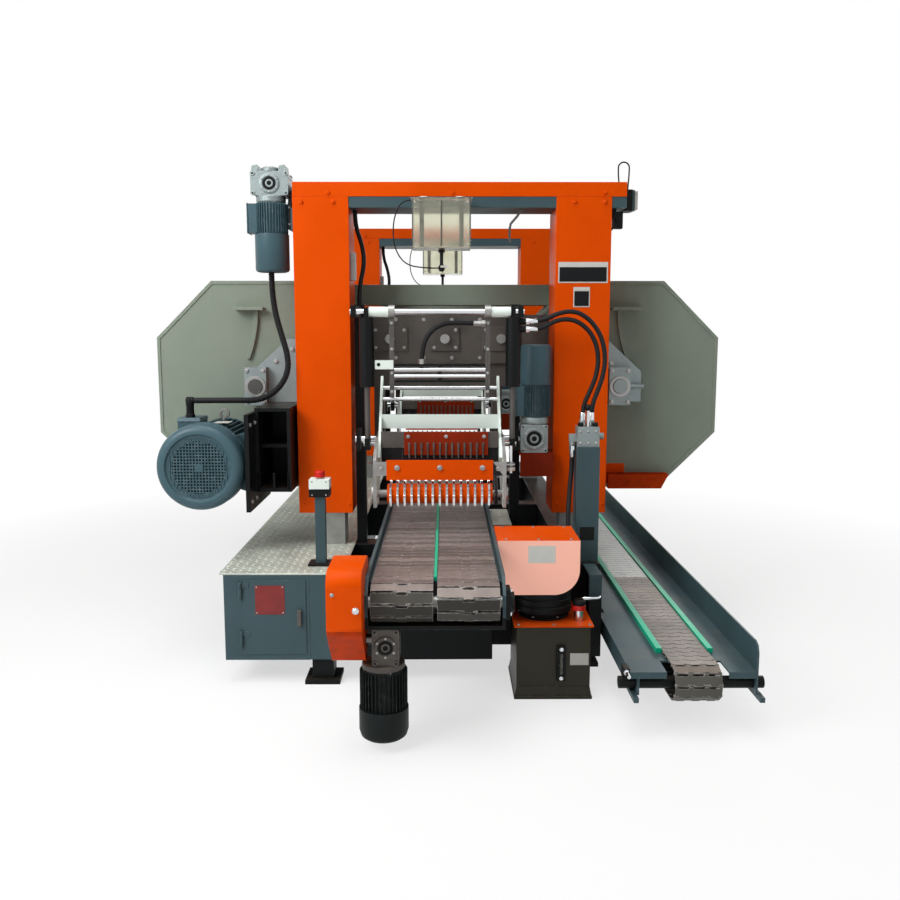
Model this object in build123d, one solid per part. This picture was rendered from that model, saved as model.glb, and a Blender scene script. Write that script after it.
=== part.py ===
"""Log slab cutting machine: two horizontal band saw gantries over one slat conveyor.

Frame: X across the feed (right as seen from the infeed end), Y along the feed, Z up.
The origin is on the floor, at the middle of the machine's length and width.
All sizes are in millimetres. A gantry's own depths are counted from the front face of
its column covers, which is the y that its functions take.
"""
from build123d import *
import math
import os

# Driving dimensions
GANTRY_PITCH = 1680.0      # between the two sawing gantries
FEED_Z = 540.0             # top of the slat conveyor
DECK_Z = 420.0             # top of the tread plates
FOOT_H = 90.0              # floor to the underside of the base
GAP_W = 820.0              # clear width between the columns of a gantry
GAP_SHIFT = 60.0           # middle of that gap, right of the feed line
COLUMN_W = 220.0
COLUMN_D = 215.0
COLUMN_FOOT_Z = 556.0      # lower edge of the column covers
BEAM_Z = 1782.0            # underside of the cross beam
BEAM_H = 42.0
BEAM_COVER_H = 56.0
BEAM_RIGHT_LAP = 58.0      # how far the beam passes the right column
WHEEL_R = 355.0
WHEEL_X = 771.0            # wheel centres, either side of the feed line
WHEEL_Z = 1066.0
HEAD_UP = 200.0            # travel of the saw head from rest
HEAD_DOWN = 140.0
BASE_HALF = 1381.0         # half the length of the base
INFEED_Y = -1925.0         # conveyor shaft at the infeed end
RETURN_HALF = 1804.0       # return conveyor shafts, either side of the middle
RETURN_X = 838.0           # middle of the return conveyor
RETURN_Z = 234.0           # top of the return chain

# Stock sizes and clearances
SHEET = 3.0
PLATE = 6.0
TUBE_WALL = 6.0
RUN = 0.05                 # radial running clearance of a shaft in its bore
SIDE = 0.5                 # clearance between pieces that pass each other
SEAT = 0.4                 # between a slanted hose end and its seat
SHAFT_R = 20.0

# Columns and beam
GAP_X = (GAP_SHIFT - GAP_W / 2, GAP_SHIFT + GAP_W / 2)
COVER_LEFT = (GAP_X[0] - COLUMN_W, GAP_X[0])
COVER_RIGHT = (GAP_X[1], GAP_X[1] + COLUMN_W)
POST_W = 80.0
POST_INSET = 35.0
POST_FRONT = 20.0
POST_D = 120.0
POST_LEFT = (GAP_X[0] - POST_INSET - POST_W, GAP_X[0] - POST_INSET)
POST_RIGHT = (GAP_X[1] + POST_INSET, GAP_X[1] + POST_INSET + POST_W)
BEAM_TOP = BEAM_Z + BEAM_H
BEAM_COVER_TOP = BEAM_TOP + BEAM_COVER_H
BEAM_X = (COVER_LEFT[0], COVER_RIGHT[1] + BEAM_RIGHT_LAP)
FACE_Y = {"front": -GANTRY_PITCH / 2 - COLUMN_D / 2, "rear": GANTRY_PITCH / 2 - COLUMN_D / 2}

# Head lift: screws, guide rails and the cross shaft that drives both screws
SCREW_R = 18.0
JOURNAL_R = 12.0
SCREW_DEPTH = COLUMN_D / 2
SCREW_LEFT_X = (COVER_LEFT[0] + POST_LEFT[0]) / 2
SCREW_RIGHT_X = (COVER_RIGHT[1] + POST_RIGHT[1]) / 2
SCREW_FOOT_Z = COLUMN_FOOT_Z + 6
SCREW_LEAD = 10.0
CROSS_R = 10.0
CROSS_Z = BEAM_TOP + 31
BEVEL_R = 19.5
BEVEL_DEPTH = 8.0
BEVEL_PITCH = 20.0
LIFT_X = BEAM_X[0] - 94
LIFT_MOTOR_LEN = 298.0
RAIL_W = 30.0
RAIL_D = 25.0
CARRIAGE_D = COLUMN_D - POST_FRONT - POST_D
CARRIAGE_H = 120.0
CARRIAGE_DOWN = 300.0      # lower and upper carriage, from the wheel axles
CARRIAGE_UP = 200.0
CARRIAGE_Z = (WHEEL_Z - CARRIAGE_DOWN, WHEEL_Z + CARRIAGE_UP)

# Saw head, depths from the gantry's face
SIDE_PLATE = 20.0
SIDE_PLATE_Y = (COLUMN_D, COLUMN_D + SIDE_PLATE)
SIDE_PLATE_DOWN = 406.0    # below and above the wheel axles
SIDE_PLATE_UP = 424.0
SIDE_ARM_REACH = {-1: 19.0, 1: 99.0}   # arm's end past the left and the right wheel axle
SIDE_ARM_SLOPE = 150.0
SIDE_ARM_UP = 199.0
SIDE_ARM_TIP = 61.0
SIDE_ARM_UNDER = 338.0     # arm's lower edge, above the plate's foot
SIDE_FOOT_IN = 180.0       # left plate's foot, inside its outer edge
CROSS_PLATE = 18.0
CROSS_PLATE_Z = (94.0, 301.0)          # cross plate and cross beam, above the wheel axles
CROSS_BEAM_Z = (-6.0, 194.0)
CROSS_BEAM_D = 80.0
HOUSING_Y0 = SIDE_PLATE_Y[1] + CROSS_PLATE
HOUSING_D = 200.0
HOUSING_HALF_W = 434.0
HOUSING_HALF_H = 444.0
HOUSING_CUT = 240.0
HANGER_UP = 332.0          # hanger shelf, above the wheel axles
CHUTE_H = 62.0             # sawdust chute on the right housing's front
CHUTE_D = 62.0
CHUTE_W = (230.0, 262.0)   # along its floor and its rim
CHUTE_TAB = (80.0, 40.0)
WHEEL_W = 40.0
WHEEL_Y = (HOUSING_Y0 + 92, HOUSING_Y0 + 92 + WHEEL_W)
RIM = 25.0
WEB = 14.0
HUB_R = 60.0
AXLE_R = 30.0
AXLE_BLOCK_D = 50.0
AXLE_BLOCK_HALF_W = 46.0
AXLE_BLOCK_HALF_H = 80.0
TENSION_TRAVEL = 20.0
BLADE_T = 1.5
BLADE_W = 38.0
BLADE_SEAT = 0.3           # gap between the blade and the wheel rims
PULLEY_Y = (HOUSING_Y0 + 17, HOUSING_Y0 + 72)
DRIVEN_R = 170.0
DRIVER_R = 75.0
BELT_W = 13.0
BELT_T = 10.0
BELT_COUNT = 3
BELT_SEAT = 0.4

# Main motor
MOTOR_OUT = 141.0          # motor axis, outside the wheel's axis
MOTOR_DROP = 286.0         # and below it
MOTOR_X = -WHEEL_X - MOTOR_OUT
MOTOR_Z = WHEEL_Z - MOTOR_DROP
MOTOR_R = 150.0
MOTOR_FACE = HOUSING_Y0 - 8
MOTOR_LEN = 490.0
FAN_COVER_R = 166.0
FAN_COVER_LEN = 125.0
MOTOR_FOOT = 172.0
MOTOR_SHAFT_R = 21.0
MOTOR_PLATE = 17.0
CONDUIT_R = 12.0
CONDUIT_BEND = 150.0

# Hold-down
PRESS_MID = 10.0
PRESS_ARM_X = 244.0        # outer arm faces lie half a plate beyond this, from the middle
PRESS_ARM = 12.0
PIVOT_Y = 0.0
PIVOT_Z = 862.0
PIVOT_R = 16.0
ROLLER_Y = -252.0
ROLLER_Z = 684.0
ROLLER_HALF = 200.0
ROLLER_CORE_R = 38.0
SPIKE_R = 52.0
SPIKE_ROWS = 15
SPIKE_TEETH = 14
ROLLER_AXLE_R = 15.0
PRESS_SPROCKET_R = 34.0
PRESS_SPROCKET_W = 8.0
CYLINDER_ARM = 150.0       # cylinder axis in front of the pivot
CYLINDER_SIDE = 38.0       # cylinder axis beyond the arm's middle
EAR_HALF = 9.0             # half the width of the ear over each cylinder
BARREL_R = 28.0
BARREL_LEN = 265.0
PORT_DROP = 36.0           # upper port, below the top shaft
PORT_PITCH = 30.0
PISTON_R = 11.0
PIN_R = 10.0
PIN_PLAY = 2.5
PIN_DRIFT = 12.0
TOP_SHAFT_Z = 1372.0
TOP_SHAFT_R = 12.0
COLLAR_R = 20.0
LINK_X = 185.0             # hanging links, either side of the press frame's middle
LINK_W = 18.0
LINK_D = 10.0
LINK_DROP = 330.0
LINK_FRAME_DROP = (199.0, 269.0)       # frame between the links, below the top shaft
LINK_BAR = 8.0
LINK_ROD_R = 9.0
STAND_X = 320.0
STAND_W = 40.0
STAND_DEPTH = 70.0
ROLLER_CASE_X = (STAND_X + 14.0, STAND_X + 124.0)
ROLLER_CASE_Z = (PIVOT_Z - 50, PIVOT_Z + 64)
SHELF_APRON = 90.0         # front apron of the shelf under the roller's geared motor
INNER_PLATE_HALF = 162.0   # plate between the raised arms, either side of its middle
INNER_PLATE_SHIFT = 24.0   # its middle, right of the press frame's middle
INNER_PLATE_Y = -196.0     # its front, from the pivot
INNER_PLATE_Z = (-38.0, 52.0)          # its edges, from the pivot
ROLLER_MOTOR_R = 62.0
ROLLER_MOTOR_LEN = 320.0

# Conveyor
SLAT_R = 60.0
SLAT_T = 12.0
LANE_W = 191.0
LANE_GAP = 11.0
SPROCKET_SEAT = 0.4
BED_WALL = 10.0
BED_TOP = FEED_Z + 20
BED_HALF = LANE_W + LANE_GAP / 2 + 8
DECK_T = 8.0
CONVEYOR_Z = FEED_Z - SLAT_R
GUARD_R = 125.0
GUARD_LOW_R = 60.0
GUARD_LOW_DROP = 130.0
GUARD_W = 104.0
GUARD_ROUND = 45.0
GUARD_CREASE = 40.0        # where the guard's front starts to slant, below the shaft
OUTFEED_Y = -INFEED_Y + GUARD_R - SLAT_R
DRIVEN_SPROCKET_R = 95.0
GEARCASE_X = (-195.0, -111.0)

# Base, cabinet and tread plates
TREAD_T = 6.0
SIDE_STEP_Y = (-98.5, 203.5)           # small tread plate, from the front gantry's face
SIDE_STEP_DROP = 10.0      # below the top of the slats
BASE_TOP = DECK_Z - TREAD_T
RAIL_LAP = 5.0
RAIL_OUT = 40.0
RAIL_WALL = 8.0
RAIL_LEFT = (POST_LEFT[0] - RAIL_LAP, POST_LEFT[1] + RAIL_LAP)
RAIL_RIGHT = (POST_RIGHT[0] - RAIL_LAP, POST_RIGHT[1] + RAIL_OUT)
RIGHT_RAIL_SETBACK = 156.0 # right rail's front end, behind the front of the base
RIGHT_RAIL_Y0 = -BASE_HALF + RIGHT_RAIL_SETBACK
NOSE_X = (559.0, 607.0)    # narrow front of the right rail, beside the tank
NOSE_Z = 330.0             # between its cap and its leg
NOSE_LIFT = 10.0
CROSS_W = 100.0
CROSS_H = 164.0
FRONT_CROSS_END = 205.0
CABINET_X0 = -784.0
DOOR_X = (-715.0, -482.0)
DOOR_Z = (112.0, 396.0)
DOOR_LAP = 12.0
HINGE_R = 7.0
HINGE_PIN_R = 3.0
HINGE_H = 40.0
TREAD_X = (CABINET_X0 - 16, -(STAND_X + STAND_W / 2 + 5))
FOOT_SIZE = 130.0
FOOT_PLATE = 16.0
FOOT_BLOCK = 80.0
ANCHOR_R = 9.0
ANCHOR_OUT = 52.0
FOOT_INSET = 51.0

# Hydraulic unit, valve stand and control station
TANK_X = (277.0, 551.0)
TANK_D = 293.0
TANK_GAP = 15.0            # between the tank and the right rail
TANK_Y = (RIGHT_RAIL_Y0 - TANK_GAP - TANK_D, RIGHT_RAIL_Y0 - TANK_GAP)
TANK_H = 265.0
TANK_WALL = 4.0
PUMP_R = 103.0
HOOD_X1 = 505.0
HOOD_D = 240.0
HOOD_INSET = 23.0          # hood's front, behind the tank's front
HOOD_Y = (TANK_Y[0] + HOOD_INSET, TANK_Y[0] + HOOD_INSET + HOOD_D)
HOOD_Z = (376.0, 572.0)
HOOD_ROUND = 90.0
VALVE_POST_W = 88.0
VALVE_POST_D = 80.0
VALVE_INSET = 25.0
VALVE_POST_Y = RIGHT_RAIL_Y0 + VALVE_INSET
VALVE_Z = 862.0
VALVE_H = 76.0
VALVE_PORT_BACK = 16.0
VALVE_PORT_X = 17.0
LEVER_R = 6.0
LEVER_PIN_R = 4.0
LEVER_FRONT = 12.0
LEVER_LEN = 84.0
STATION_X = -441.0
STATION_INSET = 135.0
STATION_Y = -BASE_HALF + STATION_INSET
STATION_W = 38.0
STATION_Z = 684.0
STATION_BOX = (74.0, 62.0, 66.0)
BUTTON_R = 19.0
BUTTON_H = 26.0
BUTTON_STEM_R = 11.0
BUTTON_TRAVEL = 5.0

# Lubricant tanks
LUBE_X = (-95.0, 129.0)
LUBE_Z = (1613.0, 1796.0)
LUBE_D = 128.0
LUBE_BACK = 12.0

# Hoses and tubes
HOSE_R = 9.0
WIRE_R = 2.5
ARCH_R = 3.0

# Return conveyor
TRAY_HALF = 187.0
TRAY_WALL = 6.0
TRAY_Z = (120.0, 318.0)
TRAY_END = 40.0            # tray's ends, past the chain's shafts
TRAY_FLANGE = 22.0         # turned-down edges of the floor at the infeed end
TRAY_SKIRT = 64.0          # below the left edge of that floor
TRAY_CUT = (240.0, 26.0)   # length and height cut off below the walls' infeed ends
APRON_X0 = 622.0           # left edge of the floor in front of the base
CHAIN_W = 152.0
STRIP_W = 20.0
STRIP_RISE = 6.0
RETURN_SHAFT_Z = RETURN_Z - SLAT_R
END_BAR_X = (591.0, 1060.0)


def block(x, y, z):
    """Box between two limits on each axis."""
    middle = [(low + high) / 2 for low, high in (x, y, z)]
    return Pos(*middle) * Box(*[high - low for low, high in (x, y, z)])


def rod_x(x, y, z, radius):
    return Pos((x[0] + x[1]) / 2, y, z) * Rot(0, 90, 0) * Cylinder(radius, x[1] - x[0])


def rod_y(x, y, z, radius):
    return Pos(x, (y[0] + y[1]) / 2, z) * Rot(90, 0, 0) * Cylinder(radius, y[1] - y[0])


def rod_z(x, y, z, radius):
    return Pos(x, y, (z[0] + z[1]) / 2) * Cylinder(radius, z[1] - z[0])


def plate_x(outline, x):
    """Plate with an outline of (y, z) points, between two limits on X."""
    face = make_face(Polyline(*[(x[0], y, z) for y, z in outline], close=True))
    return extrude(face, amount=x[1] - x[0], dir=(1, 0, 0))


def plate_y(outline, y):
    """Plate with an outline of (x, z) points, between two limits on Y."""
    face = make_face(Polyline(*[(x, y[0], z) for x, z in outline], close=True))
    return extrude(face, amount=y[1] - y[0], dir=(0, 1, 0))


def facing_y(x, y, z):
    """Plane at a point, whose sketch has X to the right and Z up, and which extrudes along -Y."""
    return Plane(origin=(x, y, z), x_dir=(1, 0, 0), z_dir=(0, -1, 0))


def facing_x(x, y, z):
    """Plane at a point, whose sketch has Y to the right and Z up, and which extrudes along +X."""
    return Plane(origin=(x, y, z), x_dir=(0, 1, 0), z_dir=(1, 0, 0))


def loop_along_y(y, z, inner, outer, x):
    """Endless band round two shafts that lie along X, at both limits of y."""
    span = y[1] - y[0]
    ring = SlotCenterToCenter(span, 2 * outer) - SlotCenterToCenter(span, 2 * inner)
    return extrude(facing_x(x[0], (y[0] + y[1]) / 2, z) * ring, amount=x[1] - x[0])


def wrap(first, first_r, second, second_r):
    """Sketch of the area inside an open belt round two circles."""
    dx, dy = second[0] - first[0], second[1] - first[1]
    along = math.atan2(dy, dx)
    spread = math.acos((first_r - second_r) / math.hypot(dx, dy))
    corners = []
    for centre, radius, side in ((first, first_r, 1), (second, second_r, 1),
                                 (second, second_r, -1), (first, first_r, -1)):
        angle = along + side * spread
        corners.append((centre[0] + radius * math.cos(angle), centre[1] + radius * math.sin(angle)))
    discs = Pos(*first) * Circle(first_r) + Pos(*second) * Circle(second_r)
    return discs + make_face(Polyline(*corners, close=True))


def tube_along_y(x, y, z, wall):
    inside = block((x[0] + wall, x[1] - wall), (y[0] - 1, y[1] + 1), (z[0] + wall, z[1] - wall))
    return block(x, y, z) - inside


def tube_along_x(x, y, z, wall):
    inside = block((x[0] - 1, x[1] + 1), (y[0] + wall, y[1] - wall), (z[0] + wall, z[1] - wall))
    return block(x, y, z) - inside


def tube_along_z(x, y, z, wall):
    inside = block((x[0] + wall, x[1] - wall), (y[0] + wall, y[1] - wall), (z[0] - 1, z[1] + 1))
    return block(x, y, z) - inside


def around(middle, half):
    return (middle - half, middle + half)


def shifted(limits, offset):
    return (limits[0] + offset, limits[1] + offset)


def hose(points, radius):
    """Round hose along a route of points, with an arc at each corner as large as its runs allow."""
    route = [Vector(*point) for point in points]
    bends = []
    for before, corner, after in zip(route, route[1:], route[2:]):
        turn = math.radians((corner - before).get_angle(after - corner))
        shorter = min((corner - before).length, (after - corner).length)
        bends.append(0.45 * shorter / math.tan(turn / 2))
    path = FilletPolyline(*route, radius=bends)
    start = Plane(origin=route[0], z_dir=route[1] - route[0])
    return sweep(start * Circle(radius), path=path)


def geared_motor(x, y, case, motor_r, motor_len, up, box_turn=180):
    """Worm gear case between three pairs of limits with an upright motor above or below it.

    The terminal box points along X, turned about the motor's axis.
    """
    side = 1 if up else -1
    face = case[2][1] if up else case[2][0]
    lengths = (0.09 * motor_len, 0.41 * motor_len, 0.50 * motor_len)
    radii = (0.86 * motor_r, 0.96 * motor_r, motor_r)
    solids = [block(*case)]
    level = face
    levels = []
    for length, radius in zip(lengths, radii):
        reach = level + side * length
        solids.append(rod_z(x, y, (min(level, reach), max(level, reach)), radius))
        levels.append((min(level, reach), max(level, reach)))
        level = reach
    box_z = levels[1]
    box_x = (x + 0.5 * motor_r, x + 1.36 * motor_r)
    terminal = block(box_x, around(y, 0.5 * motor_r), (box_z[0] + 4, box_z[1] - 4))
    terminal -= rod_z(x, y, box_z, radii[1] + RUN)
    solids.append(terminal.rotate(Axis((x, y, 0), (0, 0, 1)), box_turn))
    cap = rod_z(x, y, (case[2][0] - 26, case[2][0]) if up else (case[2][1], case[2][1] + 26), 0.45 * motor_r)
    solids.append(cap)
    return solids


# Base


def cross_member_places():
    """Middles of the base's cross members along Y: both ends, the middle and under each hold-down."""
    stands = [FACE_Y[name] + STAND_DEPTH + STAND_W / 2 for name in ("front", "rear")]
    return [RIGHT_RAIL_Y0 + CROSS_W / 2, stands[0], 0.0, stands[1], BASE_HALF - CROSS_W / 2]


def make_base_frame():
    height = (FOOT_H, BASE_TOP)
    cross_z = (BASE_TOP - CROSS_H, BASE_TOP)
    solids = []
    for x, front in ((RAIL_LEFT, -BASE_HALF), (RAIL_RIGHT, RIGHT_RAIL_Y0)):
        solids.append(tube_along_y(x, (front + PLATE, BASE_HALF - PLATE), height, RAIL_WALL))
        solids.append(block(x, (front, front + PLATE), height))
        solids.append(block(x, (BASE_HALF - PLATE, BASE_HALF), height))
    places = cross_member_places()
    for middle in places:
        span = (RAIL_LEFT[1], RAIL_RIGHT[0])
        level = height if middle == places[0] else cross_z
        solids.append(tube_along_x(span, around(middle, CROSS_W / 2), level, RAIL_WALL))
    front_y = (-BASE_HALF, -BASE_HALF + CROSS_W)
    front_x = (RAIL_LEFT[1], FRONT_CROSS_END)
    solids.append(tube_along_x(front_x, front_y, height, RAIL_WALL))
    tie_x = (FRONT_CROSS_END - RAIL_OUT * 2, FRONT_CROSS_END)
    solids.append(tube_along_y(tie_x, (front_y[1], RIGHT_RAIL_Y0), height, RAIL_WALL))
    for middle in places[1:4]:
        tie_z = around((TRAY_Z[0] + TRAY_Z[1]) / 2 + 20, 40)
        tie = block((RAIL_RIGHT[1], RETURN_X - TRAY_HALF - TRAY_WALL), around(middle, 30), tie_z)
        solids.append(tie)
    return solids + rail_nose()


def rail_nose():
    """Capped angle that carries the right rail forward past the tank, and the leg plate under it."""
    y = (-BASE_HALF, RIGHT_RAIL_Y0)
    inner_x = (NOSE_X[0] - 1, NOSE_X[1] - RAIL_WALL)
    inner_y = (y[0] + RAIL_WALL, y[1] + 1)
    cap = block(NOSE_X, y, (NOSE_Z, BASE_TOP))
    leg = block(NOSE_X, y, (FOOT_H + NOSE_LIFT, NOSE_Z))
    return [cap - block(inner_x, inner_y, (NOSE_Z - 1, BASE_TOP - RAIL_WALL)),
            leg - block(inner_x, inner_y, (FOOT_H, NOSE_Z + 1))]


def foot_places():
    """Foot middles: three under each rail."""
    left = sum(RAIL_LEFT) / 2
    right = sum(RAIL_RIGHT) / 2
    ends = BASE_HALF - FOOT_INSET
    return [(left, -ends), (left, 0.0), (left, ends),
            (right, RIGHT_RAIL_Y0 + FOOT_SIZE / 2), (right, 0.0), (right, ends)]


def make_feet():
    solids = []
    for x, y in foot_places():
        side = -1 if x < 0 else 1
        pad_x = (x - FOOT_SIZE / 2, x + FOOT_SIZE / 2)
        pad = block(pad_x, around(y, FOOT_SIZE / 2), (0, FOOT_PLATE))
        pad -= rod_z(x + side * ANCHOR_OUT, y, (-1, FOOT_PLATE + 1), ANCHOR_R)
        solids.append(pad)
        solids.append(block(around(x, FOOT_BLOCK / 2), around(y, FOOT_BLOCK / 2), (FOOT_PLATE, FOOT_H)))
    return solids


def make_cabinet():
    """Sheet cabinet along the left rail, as panels, with a door opening in its front."""
    x = (CABINET_X0, RAIL_LEFT[0])
    z = (FOOT_H, BASE_TOP)
    inner_x = (x[0] + SHEET, x[1] - SHEET)
    front = (-BASE_HALF, -BASE_HALF + SHEET)
    open_x = (DOOR_X[0] + DOOR_LAP, DOOR_X[1] - DOOR_LAP)
    open_z = (DOOR_Z[0] + DOOR_LAP, DOOR_Z[1] - DOOR_LAP)
    long_y = (-BASE_HALF, BASE_HALF)
    inner_y = (front[1], BASE_HALF - SHEET)
    solids = [
        block((x[0], inner_x[0]), long_y, z),
        block((inner_x[1], x[1]), long_y, z),
        block(inner_x, inner_y, (z[0], z[0] + SHEET)),
        block(inner_x, inner_y, (z[1] - SHEET, z[1])),
        block(inner_x, (inner_y[1], BASE_HALF), z),
        block((inner_x[0], open_x[0]), front, z),
        block((open_x[1], inner_x[1]), front, z),
        block(open_x, front, (z[0], open_z[0])),
        block(open_x, front, (open_z[1], z[1])),
    ]
    for level in hinge_levels():
        knuckle = rod_z(*hinge_pin(), (level - HINGE_H, level), HINGE_R)
        solids.append(knuckle - rod_z(*hinge_pin(), (level - HINGE_H - 1, level + 1), HINGE_PIN_R + RUN))
    return solids


def hinge_pin():
    """The door's hinge line, as its x and y."""
    return DOOR_X[0] - HINGE_R, -BASE_HALF - HINGE_R - SIDE


def hinge_levels():
    return (DOOR_Z[0] + 70, DOOR_Z[1] - 30)


def make_cabinet_door():
    y = (-BASE_HALF - SHEET - SIDE, -BASE_HALF - SIDE)
    leaf = block(DOOR_X, y, DOOR_Z)
    solids = [leaf]
    for level in hinge_levels():
        top = (level + SIDE, level + SIDE + HINGE_H / 2)
        knuckle = rod_z(*hinge_pin(), top, HINGE_R)
        knuckle += rod_z(*hinge_pin(), (level - HINGE_H, level + SIDE), HINGE_PIN_R)
        solids.append(knuckle)
        solids.append(block((DOOR_X[0], DOOR_X[0] + 24), (y[0] - SHEET, y[0]), top))
    handle_x = around(DOOR_X[1] - 24, 7)
    solids.append(block(handle_x, (y[0] - 14, y[0]), around(sum(DOOR_Z) / 2, 30)))
    return solids


def make_tread_plates():
    """Tread plate over the cabinet, cut round the left posts, and a small one beside the conveyor."""
    plate = block(TREAD_X, (-BASE_HALF, BASE_HALF), (BASE_TOP, DECK_Z))
    for y in FACE_Y.values():
        hole_x = (POST_LEFT[0] - SIDE, POST_LEFT[1] + SIDE)
        hole_y = (y + POST_FRONT - SIDE, y + POST_FRONT + POST_D + SIDE)
        plate -= block(hole_x, hole_y, (BASE_TOP - 1, DECK_Z + 1))
    step_x = (BED_HALF + BED_WALL, STAND_X - STAND_W / 2 - 2)
    step_y = shifted(SIDE_STEP_Y, FACE_Y["front"])
    return [plate, block(step_x, step_y, (FEED_Z - SIDE_STEP_DROP - TREAD_T, FEED_Z - SIDE_STEP_DROP))]


# Gantries


def make_gantry_frames():
    """Posts, guide rails, cross beams, screw bearings and shaft bearings of both gantries."""
    solids = []
    for y in FACE_Y.values():
        post_y = shifted((POST_FRONT, POST_FRONT + POST_D), y)
        rail_y = (post_y[1], post_y[1] + RAIL_D)
        beam = tube_along_x(BEAM_X, (y + SHEET, y + COLUMN_D - SHEET), (BEAM_Z, BEAM_TOP), TUBE_WALL)
        for post_x, screw_x in ((POST_LEFT, SCREW_LEFT_X), (POST_RIGHT, SCREW_RIGHT_X)):
            middle = sum(post_x) / 2
            solids.append(tube_along_z(post_x, post_y, (BASE_TOP, BEAM_Z), TUBE_WALL))
            rail_z = (COLUMN_FOOT_Z, BEAM_Z - 20)
            solids.append(block(around(middle, RAIL_W / 2), rail_y, rail_z))
            shelf_x = (screw_x - 32, post_x[0]) if screw_x < middle else (post_x[1], screw_x + 32)
            shelf_z = (SCREW_FOOT_Z, SCREW_FOOT_Z + 34)
            shelf = block(shelf_x, around(y + SCREW_DEPTH, 28), shelf_z)
            bore_z = (shelf_z[0] - 1, BEAM_TOP + 1)
            solids.append(shelf - rod_z(screw_x, y + SCREW_DEPTH, bore_z, JOURNAL_R + RUN))
            beam -= rod_z(screw_x, y + SCREW_DEPTH, bore_z, JOURNAL_R + RUN)
        solids.append(beam)
        for bearing_x in (SCREW_LEFT_X + 90, SCREW_RIGHT_X - 60):
            bearing = block(around(bearing_x, 14), around(y + SCREW_DEPTH, 26), (BEAM_TOP, CROSS_Z + 20))
            solids.append(bearing - rod_x(around(bearing_x, 15), y + SCREW_DEPTH, CROSS_Z, CROSS_R + RUN))
        end_x = (BEAM_X[1], BEAM_X[1] + 46)
        solids.append(block(end_x, around(y + SCREW_DEPTH, 36), around(BEAM_TOP - 4, 40)))
        switch_x = (GAP_X[0], GAP_X[0] + 20)
        solids.append(block(switch_x, around(y + SCREW_DEPTH - 40, 15), (BEAM_Z - 280, BEAM_Z - 170)))
        bracket_z = (BEAM_Z - 90, BEAM_Z)
        solids.append(block((BEAM_X[0] - 10, BEAM_X[0]), around(y + SCREW_DEPTH - 50, 45), bracket_z))
    return solids


def make_gantry_covers():
    """Painted sheet over each column, open at its back, over each beam, and one shelf a gantry."""
    solids = []
    for y in FACE_Y.values():
        for x in (COVER_LEFT, COVER_RIGHT):
            side_z = (COLUMN_FOOT_Z, BEAM_Z)
            cover = block(x, (y, y + SHEET), (COLUMN_FOOT_Z, BEAM_TOP))
            cover += block((x[0], x[0] + SHEET), (y, y + COLUMN_D - SIDE), side_z)
            cover += block((x[1] - SHEET, x[1]), (y, y + COLUMN_D - SIDE), side_z)
            solids.append(cover)
        lid = block(BEAM_X, (y, y + COLUMN_D), (BEAM_TOP, BEAM_COVER_TOP))
        hollow_x = (BEAM_X[0] - 1, BEAM_X[1] - SHEET)
        hollow_y = (y + SHEET, y + COLUMN_D - SHEET)
        solids.append(lid - block(hollow_x, hollow_y, (BEAM_TOP - 1, BEAM_COVER_TOP - SHEET)))
        shelf_z = (ROLLER_CASE_Z[0] - PLATE, ROLLER_CASE_Z[0])
        shelf_y = around(y + PIVOT_Y + 8, 58)
        shelf = block((ROLLER_CASE_X[0], GAP_X[1]), shelf_y, shelf_z)
        apron_z = (shelf_z[0] - SHELF_APRON, shelf_z[0])
        shelf += block((ROLLER_CASE_X[0], GAP_X[1]), (shelf_y[0], shelf_y[0] + PLATE), apron_z)
        solids.append(shelf)
        rib_z = (shelf_z[0] - 70, shelf_z[0])
        solids.append(block((GAP_X[1] - PLATE, GAP_X[1]), (y + 8, y + 66), rib_z))
    return solids


def screw(x, y):
    """Lift screw with plain journals and its bevel gear on top."""
    depth = y + SCREW_DEPTH
    thread_z = (SCREW_FOOT_Z + 34 + SIDE, BEAM_Z - SIDE)
    gear_z = CROSS_Z - BEVEL_PITCH
    solid = rod_z(x, depth, thread_z, SCREW_R)
    solid += rod_z(x, depth, (SCREW_FOOT_Z, gear_z), JOURNAL_R)
    cone = Cone(BEVEL_R, BEVEL_R - BEVEL_DEPTH, BEVEL_DEPTH)
    solid += Pos(x, depth, gear_z + BEVEL_DEPTH / 2) * cone
    return [solid]


def make_cross_shaft(y):
    """Shaft along the beam with one bevel gear beside each lift screw."""
    depth = y + SCREW_DEPTH
    solid = rod_x((BEAM_X[0] - 2, BEAM_X[1] - SHEET - SIDE), depth, CROSS_Z, CROSS_R)
    for screw_x in (SCREW_LEFT_X, SCREW_RIGHT_X):
        cone = Cone(BEVEL_R, BEVEL_R - BEVEL_DEPTH, BEVEL_DEPTH)
        solid += Pos(screw_x + BEVEL_PITCH - BEVEL_DEPTH / 2, depth, CROSS_Z) * Rot(0, -90, 0) * cone
        solid += rod_x((screw_x + BEVEL_PITCH, screw_x + BEVEL_PITCH + 10), depth, CROSS_Z, BEVEL_R - 4)
    return [solid]


# Saw head


def side_plate_outline(side, inner, outer):
    """Outline of a head side plate from its inner edge to the wheel axle's arm."""
    arm = WHEEL_X + SIDE_ARM_REACH[side]
    low = WHEEL_Z - SIDE_PLATE_DOWN
    top = WHEEL_Z + SIDE_PLATE_UP
    shoulder = WHEEL_Z + SIDE_ARM_UP
    under = low + SIDE_ARM_UNDER
    foot = outer - SIDE_FOOT_IN if side < 0 else outer
    return [(inner, low), (inner, top), (outer, top), (outer, shoulder),
            (side * (arm - SIDE_ARM_SLOPE), shoulder), (side * arm, WHEEL_Z + SIDE_ARM_TIP),
            (side * arm, under), (foot, under), (foot, low)]


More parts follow.
